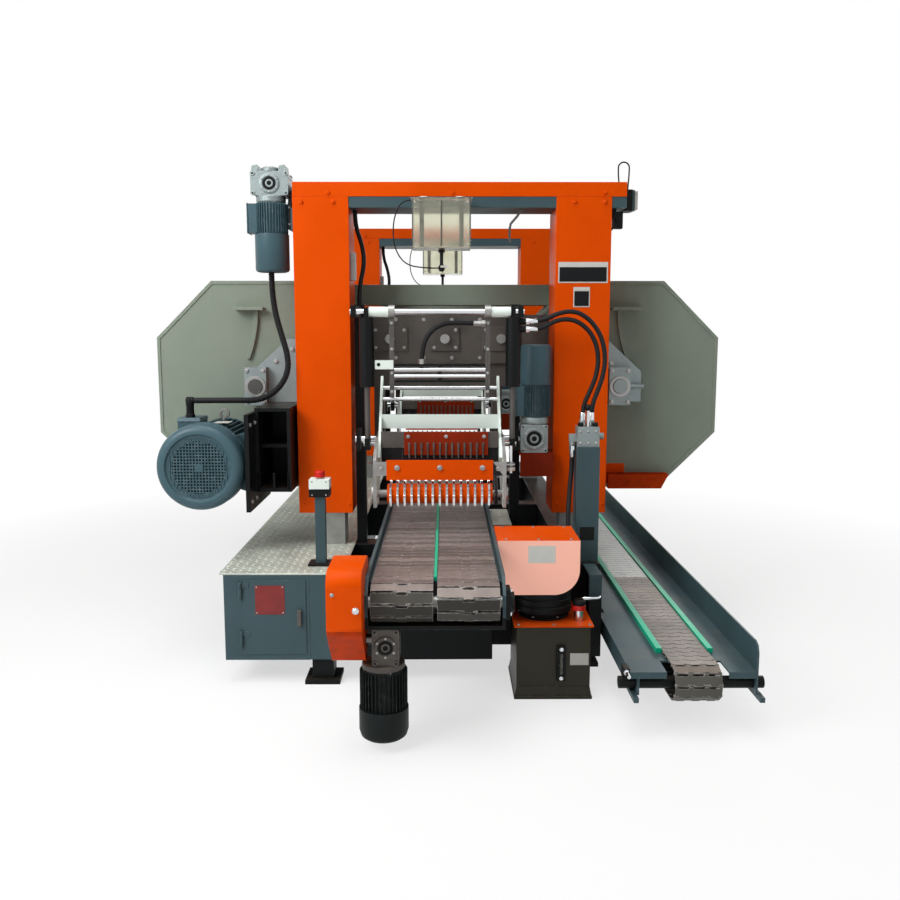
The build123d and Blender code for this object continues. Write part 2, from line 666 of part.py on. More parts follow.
def axle_block(side, y):
    """Bearing block of a wheel axle, in front of its side plate."""
    x = side * WHEEL_X
    depth = (y + COLUMN_D - AXLE_BLOCK_D, y + COLUMN_D)
    return block(around(x, AXLE_BLOCK_HALF_W), depth, around(WHEEL_Z, AXLE_BLOCK_HALF_H))


def make_head_frame(y):
    plate_y_limits = shifted(SIDE_PLATE_Y, y)
    left = plate_y(side_plate_outline(-1, GAP_X[0] - 10, COVER_LEFT[0] + 10), plate_y_limits)
    right = plate_y(side_plate_outline(1, GAP_X[1] + 10, COVER_RIGHT[1]), plate_y_limits)
    through = (y, plate_y_limits[1] + 1)
    left -= rod_y(-WHEEL_X, through, WHEEL_Z, AXLE_R + 2)
    for shift in (0, -TENSION_TRAVEL):
        right -= rod_y(WHEEL_X + shift, through, WHEEL_Z, AXLE_R + 2)
    right -= block((WHEEL_X - TENSION_TRAVEL, WHEEL_X), through, around(WHEEL_Z, AXLE_R + 2))
    solids = [left, right]
    solids.append(axle_block(-1, y) - rod_y(-WHEEL_X, through, WHEEL_Z, AXLE_R + RUN))
    cross_y = (plate_y_limits[1], y + HOUSING_Y0)
    cross_x = (COVER_LEFT[0] + 10, COVER_RIGHT[1])
    solids.append(block(cross_x, cross_y, shifted(CROSS_PLATE_Z, WHEEL_Z)))
    inner_half = WHEEL_X - HOUSING_HALF_W - 2
    beam_y = (cross_y[1], cross_y[1] + CROSS_BEAM_D)
    solids.append(tube_along_x((-inner_half, inner_half), beam_y, shifted(CROSS_BEAM_Z, WHEEL_Z), TUBE_WALL))
    for post_x, screw_x in ((POST_LEFT, SCREW_LEFT_X), (POST_RIGHT, SCREW_RIGHT_X)):
        for level in CARRIAGE_Z:
            carriage_y = (y + COLUMN_D - CARRIAGE_D + 10, y + COLUMN_D)
            carriage = block(post_x, carriage_y, (level, level + CARRIAGE_H))
            groove_x = around(sum(post_x) / 2, RAIL_W / 2 + SIDE)
            groove_y = (carriage_y[0] - 1, y + POST_FRONT + POST_D + RAIL_D + SIDE)
            solids.append(carriage - block(groove_x, groove_y, (level - 1, level + CARRIAGE_H + 1)))
        nut_y = (y + SCREW_DEPTH - 34, y + COLUMN_D)
        nut_z = around(WHEEL_Z - 16, 30)
        nut = block(around(screw_x, 30), nut_y, nut_z)
        solids.append(nut - rod_z(screw_x, y + SCREW_DEPTH, nut_z, SCREW_R + 0.3))
    solids += motor_mount(y) + blade_guides(y)
    return solids


def motor_mount(y):
    """Upright plate that the main motor's feet bolt to, and the box that carries it on the head."""
    foot_x = MOTOR_X + MOTOR_FOOT
    plate_x_limits = (foot_x, foot_x + MOTOR_PLATE)
    upright = block(plate_x_limits, (y - 215, y + 190), around(MOTOR_Z + 12, 190))
    box_x = (plate_x_limits[1], COVER_LEFT[0] - 12)
    box_y = (y - 100, y + COLUMN_D)
    box_z = (MOTOR_Z - 118, MOTOR_Z + 218)
    wall = 14.0
    core_x = (box_x[0] + wall, box_x[1] - wall)
    core_z = (box_z[0] + wall, box_z[1] - wall)
    shell = block(box_x, box_y, box_z)
    shell -= block(core_x, (box_y[0] - 1, box_y[1] - wall), core_z)
    rib = block(core_x, (box_y[0] + 60, box_y[1] - wall), around(MOTOR_Z + 60, wall / 2))
    return [upright, shell, rib]


def blade_guides(y):
    """Two arms from the cross beam down to the lower blade run, with a guide pad over the blade."""
    solids = []
    beam_low = WHEEL_Z + CROSS_BEAM_Z[0]
    run_top = WHEEL_Z - WHEEL_R - BLADE_SEAT
    arm_y = (y + HOUSING_Y0 + 8, y + HOUSING_Y0 + 58)
    for x in (-255.0, 255.0):
        solids.append(block(around(x, 22), arm_y, (run_top + 44, beam_low)))
        pad_y = (arm_y[0], y + WHEEL_Y[1] + 12)
        solids.append(block(around(x, 34), pad_y, (run_top + 6, run_top + 44)))
    return solids


def octagon(side):
    x = side * WHEEL_X
    w, h, cut = HOUSING_HALF_W, HOUSING_HALF_H, HOUSING_CUT
    quarter = ((w, h - cut), (w - cut, h))
    corners = [(x + px, WHEEL_Z + pz) for px, pz in quarter]
    corners += [(x - px, WHEEL_Z + pz) for px, pz in reversed(quarter)]
    corners += [(x - px, WHEEL_Z - pz) for px, pz in quarter]
    corners += [(x + px, WHEEL_Z - pz) for px, pz in reversed(quarter)]
    return corners


def wheel_housing(side, y):
    """Eight-sided wheel housing, hollow, open where the axle, motor shaft and blade pass."""
    depth = (y + HOUSING_Y0, y + HOUSING_Y0 + HOUSING_D)
    shell = plate_y(octagon(side), depth)
    slant = SHEET * math.tan(math.radians(22.5))
    x = side * WHEEL_X
    w, h = HOUSING_HALF_W - SHEET, HOUSING_HALF_H - SHEET
    cut = HOUSING_CUT - slant
    inner = []
    for px, pz in ((w, h - cut), (w - cut, h), (cut - w, h), (-w, h - cut),
                   (-w, cut - h), (cut - w, -h), (w - cut, -h), (w, cut - h)):
        inner.append((x + px, WHEEL_Z + pz))
    shell -= plate_y(inner, (depth[0] + SHEET, depth[1] - SHEET))
    front = (depth[0] - 1, depth[0] + SHEET + 1)
    slot_r = AXLE_R + 6
    slot = rod_y(x, front, WHEEL_Z, slot_r)
    if side > 0:
        slot += rod_y(x - TENSION_TRAVEL, front, WHEEL_Z, slot_r)
        slot += block((x - TENSION_TRAVEL, x), front, around(WHEEL_Z, slot_r))
    else:
        slot += rod_y(MOTOR_X, front, MOTOR_Z, MOTOR_SHAFT_R + 14)
    shell -= slot
    inner_x = (x, x - side * (HOUSING_HALF_W + 1))
    for level in (WHEEL_Z - WHEEL_R, WHEEL_Z + WHEEL_R):
        gap_y = (y + WHEEL_Y[0] - 12, y + WHEEL_Y[1] + 12)
        shell -= block((min(inner_x), max(inner_x)), gap_y, around(level, 16))
    return shell


def make_wheel_housings(y):
    """Both housings, the cover over the upper blade run, hanger brackets and the sawdust chute."""
    solids = [wheel_housing(-1, y), wheel_housing(1, y)]
    corner_z = WHEEL_Z + HOUSING_HALF_H - HOUSING_CUT
    inner = WHEEL_X - HOUSING_HALF_W - SIDE
    cover_z = (WHEEL_Z + WHEEL_R - 12, WHEEL_Z + HOUSING_HALF_H - 14)
    low, high = (inner + level - corner_z for level in cover_z)
    outline = [(-low, cover_z[0]), (-high, cover_z[1]), (high, cover_z[1]), (low, cover_z[0])]
    cover_y = (y + HOUSING_Y0 + 45, y + HOUSING_Y0 + 180)
    cover = plate_y(outline, (cover_y[0], cover_y[0] + SHEET))
    cover += plate_y(outline, (cover_y[1] - SHEET, cover_y[1]))
    top_half = high - SHEET
    cover += block((-top_half, top_half), cover_y, (cover_z[1] - SHEET, cover_z[1]))
    solids.append(cover)
    for side in (-1, 1):
        solids += hanger(side, y)
    solids += dust_chute(y)
    return solids


def dust_chute(y):
    """Open tray on the right housing's front with a slanted end, and the tab that it hangs on."""
    low = WHEEL_Z - HOUSING_HALF_H
    rim = low + CHUTE_H
    x = WHEEL_X - 36
    depth = (y + HOUSING_Y0 - CHUTE_D, y + HOUSING_Y0)
    outline = [(x, low), (x + CHUTE_W[0], low), (x + CHUTE_W[1], rim), (x, rim)]
    inner = [(x - 1, low + SHEET), (x + CHUTE_W[0] - SHEET, low + SHEET),
             (x + CHUTE_W[1] - SHEET, rim + 1), (x - 1, rim + 1)]
    tray = plate_y(outline, depth) - plate_y(inner, (depth[0] + SHEET, depth[1] - SHEET))
    tab = block((x, x + CHUTE_TAB[0]), (depth[1] - SHEET, depth[1]), (rim, rim + CHUTE_TAB[1]))
    return [tray, tab]


def hanger(side, y):
    """Angle bracket on the housing's front with a curved leg below it."""
    x = side * (WHEEL_X + 30)
    top_z = WHEEL_Z + HANGER_UP
    depth = (y + HOUSING_Y0 - 54, y + HOUSING_Y0)
    shelf = block(around(x, 62), depth, (top_z - 12, top_z))
    steps = [step / 8 for step in range(9)]
    inner = [(x - side * (34 - 40 * step * step), top_z - 12 - 205 * step) for step in steps]
    outer = [(px + side * 16, pz) for px, pz in inner]
    leg = plate_y(inner + outer[::-1], (y + HOUSING_Y0 - 16, y + HOUSING_Y0))
    return [shelf, leg]


def wheel(x, y, bore):
    depth = (y + WHEEL_Y[0], y + WHEEL_Y[1])
    middle = sum(depth) / 2
    solid = rod_y(x, depth, WHEEL_Z, WHEEL_R) - rod_y(x, depth, WHEEL_Z, WHEEL_R - RIM)
    web = rod_y(x, around(middle, WEB / 2), WHEEL_Z, WHEEL_R - RIM)
    for step in range(5):
        angle = math.radians(90 + 72 * step)
        reach = (HUB_R + WHEEL_R - RIM) / 2
        hole_r = (WHEEL_R - RIM - HUB_R) * 0.36
        hole_x = x + reach * math.cos(angle)
        web -= rod_y(hole_x, around(middle, WEB), WHEEL_Z + reach * math.sin(angle), hole_r)
    solid += web
    solid += rod_y(x, around(middle, WHEEL_W / 2 + 8), WHEEL_Z, HUB_R)
    return solid - rod_y(x, around(middle, WHEEL_W), WHEEL_Z, bore)


def make_drive_wheel(y):
    """Drive wheel, its axle, its belt pulley and the nut on the axle's front end."""
    x = -WHEEL_X
    axle_y = (y + COLUMN_D - AXLE_BLOCK_D - 14, y + WHEEL_Y[1] + 16)
    pulley_y = shifted(PULLEY_Y, y)
    pulley = rod_y(x, pulley_y, WHEEL_Z, DRIVEN_R) - rod_y(x, pulley_y, WHEEL_Z, AXLE_R + RUN)
    return [wheel(x, y, AXLE_R + RUN), rod_y(x, axle_y, WHEEL_Z, AXLE_R), pulley]


def make_idler_carrier(y):
    """Sliding bearing block of the idler wheel with its fixed axle and tension screw."""
    axle_y = (y + COLUMN_D - AXLE_BLOCK_D - 14, y + WHEEL_Y[1] + 16)
    body = axle_block(1, y) + rod_y(WHEEL_X, axle_y, WHEEL_Z, AXLE_R)
    screw_x = (WHEEL_X + AXLE_BLOCK_HALF_W, WHEEL_X + AXLE_BLOCK_HALF_W + 60)
    body += rod_x(screw_x, y + COLUMN_D - AXLE_BLOCK_D / 2, WHEEL_Z, 10)
    return [body]


def make_blade(y):
    """Endless blade as two straight runs and the two halves that lie on the wheels."""
    inner = WHEEL_R + BLADE_SEAT
    outer = inner + BLADE_T
    middle = y + sum(WHEEL_Y) / 2
    depth = around(middle, BLADE_W / 2)
    solids = []
    for side in (-1, 1):
        x = side * WHEEL_X
        ring = rod_y(x, depth, WHEEL_Z, outer) - rod_y(x, depth, WHEEL_Z, inner)
        outward = sorted((x, x + side * (outer + 1)))
        solids.append(ring & block(outward, depth, around(WHEEL_Z, outer + 1)))
        run_z = sorted((WHEEL_Z + side * inner, WHEEL_Z + side * outer))
        solids.append(block((-WHEEL_X, WHEEL_X), depth, run_z))
    return solids


def make_main_motor(y):
    """Foot-mounted motor on its side: frame, fan cover, end shield, feet and terminal box."""
    back = y + MOTOR_FACE
    front = back - MOTOR_LEN
    shield = 26.0
    bore = rod_y(MOTOR_X, (back - 120, back + 1), MOTOR_Z, MOTOR_SHAFT_R + RUN)
    cover = rod_y(MOTOR_X, (front, front + FAN_COVER_LEN), MOTOR_Z, FAN_COVER_R)
    cover = fillet(cover.edges().group_by(Axis.Y)[0], FAN_COVER_R * 0.22)
    hollow = rod_y(MOTOR_X, (front + SHEET, front + FAN_COVER_LEN + 1), MOTOR_Z, FAN_COVER_R * 0.74)
    body = rod_y(MOTOR_X, (front + FAN_COVER_LEN, back - shield), MOTOR_Z, MOTOR_R) - bore
    end = rod_y(MOTOR_X, (back - shield, back), MOTOR_Z, MOTOR_R - 12) - bore
    solids = [cover - hollow, body, end]
    for foot_y in (front + FAN_COVER_LEN + 60, back - shield - 70):
        for side in (-1, 1):
            foot_z = around(MOTOR_Z + side * 92, 34)
            foot = block((MOTOR_X, MOTOR_X + MOTOR_FOOT), around(foot_y, 28), foot_z)
            solids.append(foot - rod_y(MOTOR_X, around(foot_y, 30), MOTOR_Z, MOTOR_R + RUN))
    box_y = around(front + FAN_COVER_LEN + 90, 60)
    box = block((MOTOR_X - 118, MOTOR_X - 30), box_y, (MOTOR_Z, MOTOR_Z + 178))
    solids.append(box - rod_y(MOTOR_X, around(sum(box_y) / 2, 70), MOTOR_Z, MOTOR_R + RUN))
    end_x, end_y, end_z = conduit_end(y)
    solids.append(block((end_x - 32, end_x), around(end_y, 16), (MOTOR_Z + 178, end_z + 16)))
    return solids


def make_motor_pulley(y):
    shaft_y = (y + MOTOR_FACE - 100, y + PULLEY_Y[1] + 4)
    return [rod_y(MOTOR_X, shaft_y, MOTOR_Z, MOTOR_SHAFT_R)
            + rod_y(MOTOR_X, shifted(PULLEY_Y, y), MOTOR_Z, DRIVER_R)]


def make_drive_belts(y):
    solids = []
    driven = (-WHEEL_X, WHEEL_Z)
    driver = (MOTOR_X, MOTOR_Z)
    step = (PULLEY_Y[1] - PULLEY_Y[0]) / BELT_COUNT
    ring = wrap(driven, DRIVEN_R + BELT_SEAT + BELT_T, driver, DRIVER_R + BELT_SEAT + BELT_T)
    ring -= wrap(driven, DRIVEN_R + BELT_SEAT, driver, DRIVER_R + BELT_SEAT)
    for index in range(BELT_COUNT):
        front = y + PULLEY_Y[0] + step * index + (step - BELT_W) / 2
        solids.append(extrude(facing_y(0, front + BELT_W, 0) * ring, amount=BELT_W))
    return solids


def conduit_end(y):
    """Side of the elbow on the main motor's terminal box, where the conduit comes in."""
    return MOTOR_X - 58, y - 60, MOTOR_Z + 245


def conduit_route(y):
    """Route of the cable conduit from the lift motor down and out to the main motor."""
    end_x, end_y, end_z = conduit_end(y)
    bend = CONDUIT_BEND
    turn_x, turn_z = LIFT_X - 83, end_z + bend
    corners = []
    for step in range(4):
        angle = math.radians(-11.25 - 22.5 * step)
        reach = bend / math.cos(math.radians(11.25))
        depth = y - 24 - 12 * step
        corners.append((turn_x + reach * math.cos(angle), depth, turn_z + reach * math.sin(angle)))
    top_z = CROSS_Z - 24 - LIFT_MOTOR_LEN
    upper = [(LIFT_X - 6, y + 57, top_z), (LIFT_X - 6, y + 57, top_z - 64), (LIFT_X + 8, y + 38, top_z - 164),
             (LIFT_X + 42, y + 6, top_z - 266), (LIFT_X + 62, y - 9, top_z - 328)]
    return upper + corners + [(turn_x - 30, end_y, end_z + 1), (end_x + SEAT, end_y, end_z)]


def make_conduit(y):
    return [hose(conduit_route(y), CONDUIT_R)]


# Hold-downs


def make_hold_down_stands():
    """Posts on the base, pivot bearings, top brackets and the shaft that the cylinders hang from."""
    solids = []
    for y in FACE_Y.values():
        post_y = (y + STAND_DEPTH, y + STAND_DEPTH + STAND_W)
        shaft_y = y + PIVOT_Y - CYLINDER_ARM
        ends = []
        for side in (-1, 1):
            x = side * STAND_X
            top_z = TOP_SHAFT_Z + 28
            solids.append(tube_along_z(around(x, STAND_W / 2), post_y, (BASE_TOP, top_z), 4))
            solids.append(block(around(x, STAND_W / 2), post_y, (top_z, top_z + PLATE)))
            bearing = block(around(x, 8), (y + PIVOT_Y - 36, post_y[0]), around(PIVOT_Z, 42))
            solids.append(bearing - rod_x(around(x, 9), y + PIVOT_Y, PIVOT_Z, PIVOT_R + RUN))
            bracket = block(around(x, 10), (shaft_y - 26, post_y[0]), (TOP_SHAFT_Z - 20, TOP_SHAFT_Z + 24))
            solids.append(bracket - rod_x(around(x, 11), shaft_y, TOP_SHAFT_Z, TOP_SHAFT_R + RUN))
            ends.append(x + side * 14)
        shaft = rod_x((ends[0], ends[1]), shaft_y, TOP_SHAFT_Z, TOP_SHAFT_R)
        solids += hanging_links(shaft, shaft_y)
    return solids


def hanging_links(shaft, y):
    """Top shaft with collars and two links, and the frame of bars and rods between the links."""
    solids = []
    inner = [PRESS_MID + side * (LINK_X - LINK_W / 2) for side in (-1, 1)]
    for side in (-1, 1):
        x = around(PRESS_MID + side * LINK_X, LINK_W / 2)
        ear = cylinder_x(side) - side * (EAR_HALF + SIDE)
        collar_x = sorted((ear, PRESS_MID + side * LINK_X))
        shaft += rod_x(collar_x, y, TOP_SHAFT_Z, COLLAR_R)
        shaft += block(x, around(y, LINK_D / 2), (TOP_SHAFT_Z - LINK_DROP, TOP_SHAFT_Z))
    solids.append(shaft)
    top, low = [TOP_SHAFT_Z - drop for drop in LINK_FRAME_DROP]
    bar_y = around(y, LINK_D / 2)
    solids.append(block(inner, bar_y, (top - LINK_BAR, top)))
    solids.append(block(inner, bar_y, (low, low + LINK_BAR)))
    divider = block(around(PRESS_MID, LINK_BAR), bar_y, (low + LINK_BAR, top - LINK_BAR))
    rod_levels = [low + (top - low) * share for share in (0.32, 0.68)]
    for level in rod_levels:
        divider -= rod_x(around(PRESS_MID, LINK_BAR + 1), y, level, LINK_ROD_R + RUN)
        solids.append(rod_x(inner, y, level, LINK_ROD_R))
    solids.append(divider)
    return solids


def port_levels():
    return TOP_SHAFT_Z - PORT_DROP, TOP_SHAFT_Z - PORT_DROP - PORT_PITCH


def cylinder_x(side):
    return PRESS_MID + side * (PRESS_ARM_X + CYLINDER_SIDE)


def make_cylinder_barrels():
    solids = []
    for y in FACE_Y.values():
        axis_y = y + PIVOT_Y - CYLINDER_ARM
        for side in (-1, 1):
            x = cylinder_x(side)
            top = TOP_SHAFT_Z - 22
            barrel = rod_z(x, axis_y, (top - BARREL_LEN, top), BARREL_R)
            barrel -= rod_z(x, axis_y, (top - BARREL_LEN - 1, top - 20), PISTON_R + RUN)
            ear = block(around(x, EAR_HALF), around(axis_y, 18), (top, TOP_SHAFT_Z + 18))
            solids.append(barrel)
            for port_z in port_levels() if side > 0 else ():
                port = rod_x((x, x + BARREL_R + 22), axis_y, port_z, 12)
                solids.append(port - rod_z(x, axis_y, around(port_z, 20), BARREL_R + RUN))
            solids.append(ear - rod_x(around(x, 10), axis_y, TOP_SHAFT_Z, TOP_SHAFT_R + RUN))
    return solids


def make_cylinder_rods(y):
    """Two piston rods whose slotted eyes leave the press frame's pins room to drift."""
    solids = []
    axis_y = y + PIVOT_Y - CYLINDER_ARM
    for side in (-1, 1):
        x = cylinder_x(side)
        eye_y = (axis_y - PIN_R - 14, axis_y + PIN_R + PIN_DRIFT + 12)
        eye = block(around(x, 10), eye_y, around(PIVOT_Z, PIN_R + PIN_PLAY + 10))
        slot_y = (axis_y - PIN_R - PIN_PLAY, axis_y + PIN_R + PIN_DRIFT)
        eye -= block(around(x, 11), slot_y, around(PIVOT_Z, PIN_R + PIN_PLAY))
        rod_top = TOP_SHAFT_Z - 125
        solids.append(eye)
        solids.append(rod_z(x, axis_y, (PIVOT_Z + PIN_R + PIN_PLAY + 10, rod_top), PISTON_R))
    return solids


def arm_x(side):
    """Limits of a press arm on X."""
    return around(PRESS_MID + side * PRESS_ARM_X, PRESS_ARM / 2)


def make_press_frame(y):
    """Swinging frame: side plates, front and inner plates, raised arms, cross bar, tie rods and pins."""
    pivot_y = y + PIVOT_Y
    roller_y = y + ROLLER_Y
    front = roller_y - SPIKE_R - 8
    outline = [(front, ROLLER_Z - 44), (front, ROLLER_Z + 137), (pivot_y - 180, PIVOT_Z + 30),
               (pivot_y + 38, PIVOT_Z + 38), (pivot_y + 38, PIVOT_Z - 38), (roller_y + 62, ROLLER_Z - 44)]
    inner = [PRESS_MID - PRESS_ARM_X + PRESS_ARM / 2, PRESS_MID + PRESS_ARM_X - PRESS_ARM / 2]
    rise = 10.0
    solids = []
    for side in (-1, 1):
        limits = arm_x(side)
        plate = plate_x(outline, limits)
        plate -= rod_x(limits, pivot_y, PIVOT_Z, PIVOT_R + RUN)
        plate -= rod_x(limits, roller_y, ROLLER_Z, ROLLER_AXLE_R + RUN)
        solids.append(plate)
        edge = limits[0] if side < 0 else limits[1]
        pin_x = sorted((edge, cylinder_x(side) + side * 16))
        solids.append(rod_x(pin_x, pivot_y - CYLINDER_ARM, PIVOT_Z, PIN_R))
        bar = [(pivot_y - 239, PIVOT_Z - 42), (pivot_y - 14, PIVOT_Z + 258),
               (pivot_y + 14, PIVOT_Z + 238), (pivot_y - 211, PIVOT_Z - 62)]
        start = inner[0] if side < 0 else inner[1] - rise
        solids.append(plate_x(bar, (start, start + rise)))
    across_x = (inner[0] + rise, inner[1] - rise)
    solids.append(block(across_x, (pivot_y - 127, pivot_y - 117), (PIVOT_Z + 58, PIVOT_Z + 113)))
    for rod_y_place, rod_z_place in ((-28, 211), (-60, 168)):
        solids.append(rod_x(across_x, pivot_y + rod_y_place, PIVOT_Z + rod_z_place, 8))
    inner_plate_x = around(PRESS_MID + INNER_PLATE_SHIFT, INNER_PLATE_HALF)
    inner_plate_y = shifted((INNER_PLATE_Y, INNER_PLATE_Y + PLATE), pivot_y)
    solids.append(block(inner_plate_x, inner_plate_y, shifted(INNER_PLATE_Z, PIVOT_Z)))
    carrier_z = (INNER_PLATE_Z[1] - 62, INNER_PLATE_Z[1])
    solids.append(block(across_x, shifted(inner_plate_y, PLATE), shifted(carrier_z, PIVOT_Z)))
    plate_x_limits = around(PRESS_MID, ROLLER_HALF)
    solids.append(block(plate_x_limits, (front, front + PLATE), (ROLLER_Z + 61, ROLLER_Z + 137)))
    for end_x in ((inner[0], plate_x_limits[0]), (plate_x_limits[1], inner[1])):
        solids.append(block(end_x, (front, front + PLATE), (ROLLER_Z + 78, ROLLER_Z + 130)))
    seat = PRESS_SPROCKET_R + SPROCKET_SEAT
    ring = wrap((pivot_y, PIVOT_Z), seat + 7, (roller_y, ROLLER_Z), seat + 7 - SIDE)
    ring -= wrap((pivot_y, PIVOT_Z), seat, (roller_y, ROLLER_Z), seat - SIDE)
    solids.append(extrude(facing_x(press_chain_x()[0], 0, 0) * ring, amount=PRESS_SPROCKET_W))
    return solids


def press_chain_x():
    """Limits on X of the chain from the pivot shaft to the roller, inside the right arm."""
    middle = (PRESS_MID + ROLLER_HALF + inner_arm_face() - 10) / 2
    return around(middle, PRESS_SPROCKET_W / 2)


def make_press_roller(y):
    """Feed roller: core, rows of spiked discs and an axle through both arms."""
    roller_y = y + ROLLER_Y
    limits = around(PRESS_MID, ROLLER_HALF)
    core = rod_x(limits, roller_y, ROLLER_Z, ROLLER_CORE_R)
    axle_x = (arm_x(-1)[0] - 4, arm_x(1)[1] + 4)
    core += rod_x(axle_x, roller_y, ROLLER_Z, ROLLER_AXLE_R)
    star = []
    for tooth in range(2 * SPIKE_TEETH):
        angle = math.pi * tooth / SPIKE_TEETH
        reach = SPIKE_R if tooth % 2 == 0 else ROLLER_CORE_R + 2
        star.append((roller_y + reach * math.cos(angle), ROLLER_Z + reach * math.sin(angle)))
    pitch = 2 * ROLLER_HALF / SPIKE_ROWS
    for row in range(SPIKE_ROWS):
        middle = limits[0] + pitch * (row + 0.5)
        core += plate_x(star, around(middle, 4))
    core += rod_x(press_chain_x(), roller_y, ROLLER_Z, PRESS_SPROCKET_R - SIDE)
    return [core]


def make_press_shaft(y):
    """Driven pivot shaft of the press frame, with the sprocket of the roller's chain."""
    ends = (-STAND_X - 14, ROLLER_CASE_X[0] - SIDE)
    solid = rod_x(ends, y + PIVOT_Y, PIVOT_Z, PIVOT_R)
    solid += rod_x(press_chain_x(), y + PIVOT_Y, PIVOT_Z, PRESS_SPROCKET_R)
    return [solid]


def inner_arm_face():
    return PRESS_MID + PRESS_ARM_X - PRESS_ARM / 2


def make_worm_gearmotors():
    """Geared motors of the head lifts, the press rollers and both conveyors."""
    solids = []
    lift_x = LIFT_X
    for y in FACE_Y.values():
        depth = y + SCREW_DEPTH
        lift_case = (around(lift_x, 75), (depth - 88, depth + 30), (CROSS_Z - 24, CROSS_Z + 70))
        solids += geared_motor(lift_x, depth - 50, lift_case, 68.0, LIFT_MOTOR_LEN, False)
        hub_x = (lift_x + 75, BEAM_X[0] - 2 - SIDE)
        solids.append(rod_x(hub_x, depth, CROSS_Z, 20))
        roller_case = (ROLLER_CASE_X, around(y + PIVOT_Y, 55), ROLLER_CASE_Z)
        motor_x = sum(ROLLER_CASE_X) / 2 + 8
        solids += geared_motor(motor_x, y + PIVOT_Y, roller_case, ROLLER_MOTOR_R, ROLLER_MOTOR_LEN, True)[:-1]
    plate_low = CONVEYOR_Z - SLAT_R - 20
    drive_case = (GEARCASE_X, around(INFEED_Y + 36, 58), (plate_low - 118, plate_low))
    drive_x = sum(GEARCASE_X) / 2 - 10
    solids += geared_motor(drive_x, INFEED_Y + 36, drive_case, 78.0, 246.0, False, 90)[:-1]
    hub_x = (-BED_HALF - BED_WALL - 60, GEARCASE_X[0])
    solids.append(rod_x(hub_x, INFEED_Y + 36, CONVEYOR_Z - GUARD_LOW_DROP, 16))
    return_x = END_BAR_X[1] + 44
    return_case = (around(return_x, 42), around(RETURN_HALF, 50), around(RETURN_SHAFT_Z + 4, 54))
    solids += geared_motor(return_x, RETURN_HALF, return_case, 60.0, 250.0, True, 0)
    return solids


# Lubricant tanks


def make_lube_tanks():
    """Clear tank hung on each beam: walls, lid, hanging strap, outlet and tap."""
    solids = []
    for y in FACE_Y.values():
        depth = (y - LUBE_BACK - LUBE_D, y - LUBE_BACK)
        tank = block(LUBE_X, depth, LUBE_Z)
        wall = 5.0
        inside = [(low + wall, high - wall) for low, high in (LUBE_X, depth)]
        solids.append(tank - block(*inside, (LUBE_Z[0] + wall, LUBE_Z[1] + 1)))
        lid_x = (LUBE_X[0] - 5, LUBE_X[1] + 5)
        solids.append(block(lid_x, (depth[0] - 5, depth[1]), (LUBE_Z[1], LUBE_Z[1] + 6)))
        middle = sum(LUBE_X) / 2
        strap_z = (LUBE_Z[0] + 10, BEAM_TOP - 4)
        solids.append(block(around(middle, 70), (y - LUBE_BACK, y + SHEET), (BEAM_Z + 4, BEAM_TOP - 4)))
        solids.append(block(around(middle, 70), (depth[1], depth[1] + 6), (strap_z[0], BEAM_Z + 4)))
        outlet_y = sum(depth) / 2
        solids.append(rod_z(middle, outlet_y, (LUBE_Z[0] - 58, LUBE_Z[0]), 7))
        tap = block(around(middle, 13), around(outlet_y, 11), (LUBE_Z[0] - 84, LUBE_Z[0] - 58))
        solids.append(tap)
    return solids


# Main conveyor


def make_conveyor_bed():
    """Side walls, slide deck, and the plate that carries the drive."""
    solids = []
    ends = (INFEED_Y - 34, OUTFEED_Y + 34)
    low = BASE_TOP + 26
    foot_y = (-BASE_HALF, BASE_HALF)
    outline = [(ends[0], low), (ends[0], FEED_Z - 30), (ends[0] + 60, BED_TOP), (ends[1] - 60, BED_TOP),
               (ends[1], FEED_Z - 30), (ends[1], low), (foot_y[1], low), (foot_y[1], BASE_TOP),
               (foot_y[0], BASE_TOP), (foot_y[0], low)]
    for side in (-1, 1):
        x = sorted((side * BED_HALF, side * (BED_HALF + BED_WALL)))
        wall = plate_x(outline, x)
        for shaft_y in (INFEED_Y, OUTFEED_Y):
            wall -= rod_x(x, shaft_y, CONVEYOR_Z, SHAFT_R + RUN)
        solids.append(wall)
        hang_z = (CONVEYOR_Z - SLAT_R - 20, low)
        solids.append(block(x, around(INFEED_Y + 36, 60), hang_z))
    deck_y = (INFEED_Y + SLAT_R, OUTFEED_Y - SLAT_R)
    deck_top = FEED_Z - SLAT_T
    solids.append(block((-BED_HALF, BED_HALF), deck_y, (deck_top - DECK_T, deck_top)))
    hang_plate = (CONVEYOR_Z - SLAT_R - 20, CONVEYOR_Z - SLAT_R - 8)
    solids.append(block((-BED_HALF, BED_HALF), around(INFEED_Y + 36, 60), hang_plate))
    return solids


def lanes():
    return ((-LANE_GAP / 2 - LANE_W, -LANE_GAP / 2), (LANE_GAP / 2, LANE_GAP / 2 + LANE_W))


def make_conveyor_slats():
    inner = SLAT_R - SLAT_T
    return [loop_along_y((INFEED_Y, OUTFEED_Y), CONVEYOR_Z, inner, SLAT_R, lane) for lane in lanes()]


def sprocket_shaft(x, y, z, places):
    """Shaft along X with a chain sprocket at each place."""
    solid = rod_x(x, y, z, SHAFT_R)
    for place in places:
        solid += rod_x(around(place, 12), y, z, SLAT_R - SLAT_T - SPROCKET_SEAT)
    return solid


def make_conveyor_drive_shaft():
    places = [sum(lane) / 2 + offset for lane in lanes() for offset in (-50, 50)]
    left = -BED_HALF - BED_WALL
    solid = sprocket_shaft((left - 78, BED_HALF + BED_WALL + 8), INFEED_Y, CONVEYOR_Z, places)
    solid += rod_x((left - 62, left - 44), INFEED_Y, CONVEYOR_Z, DRIVEN_SPROCKET_R)
    return [solid]


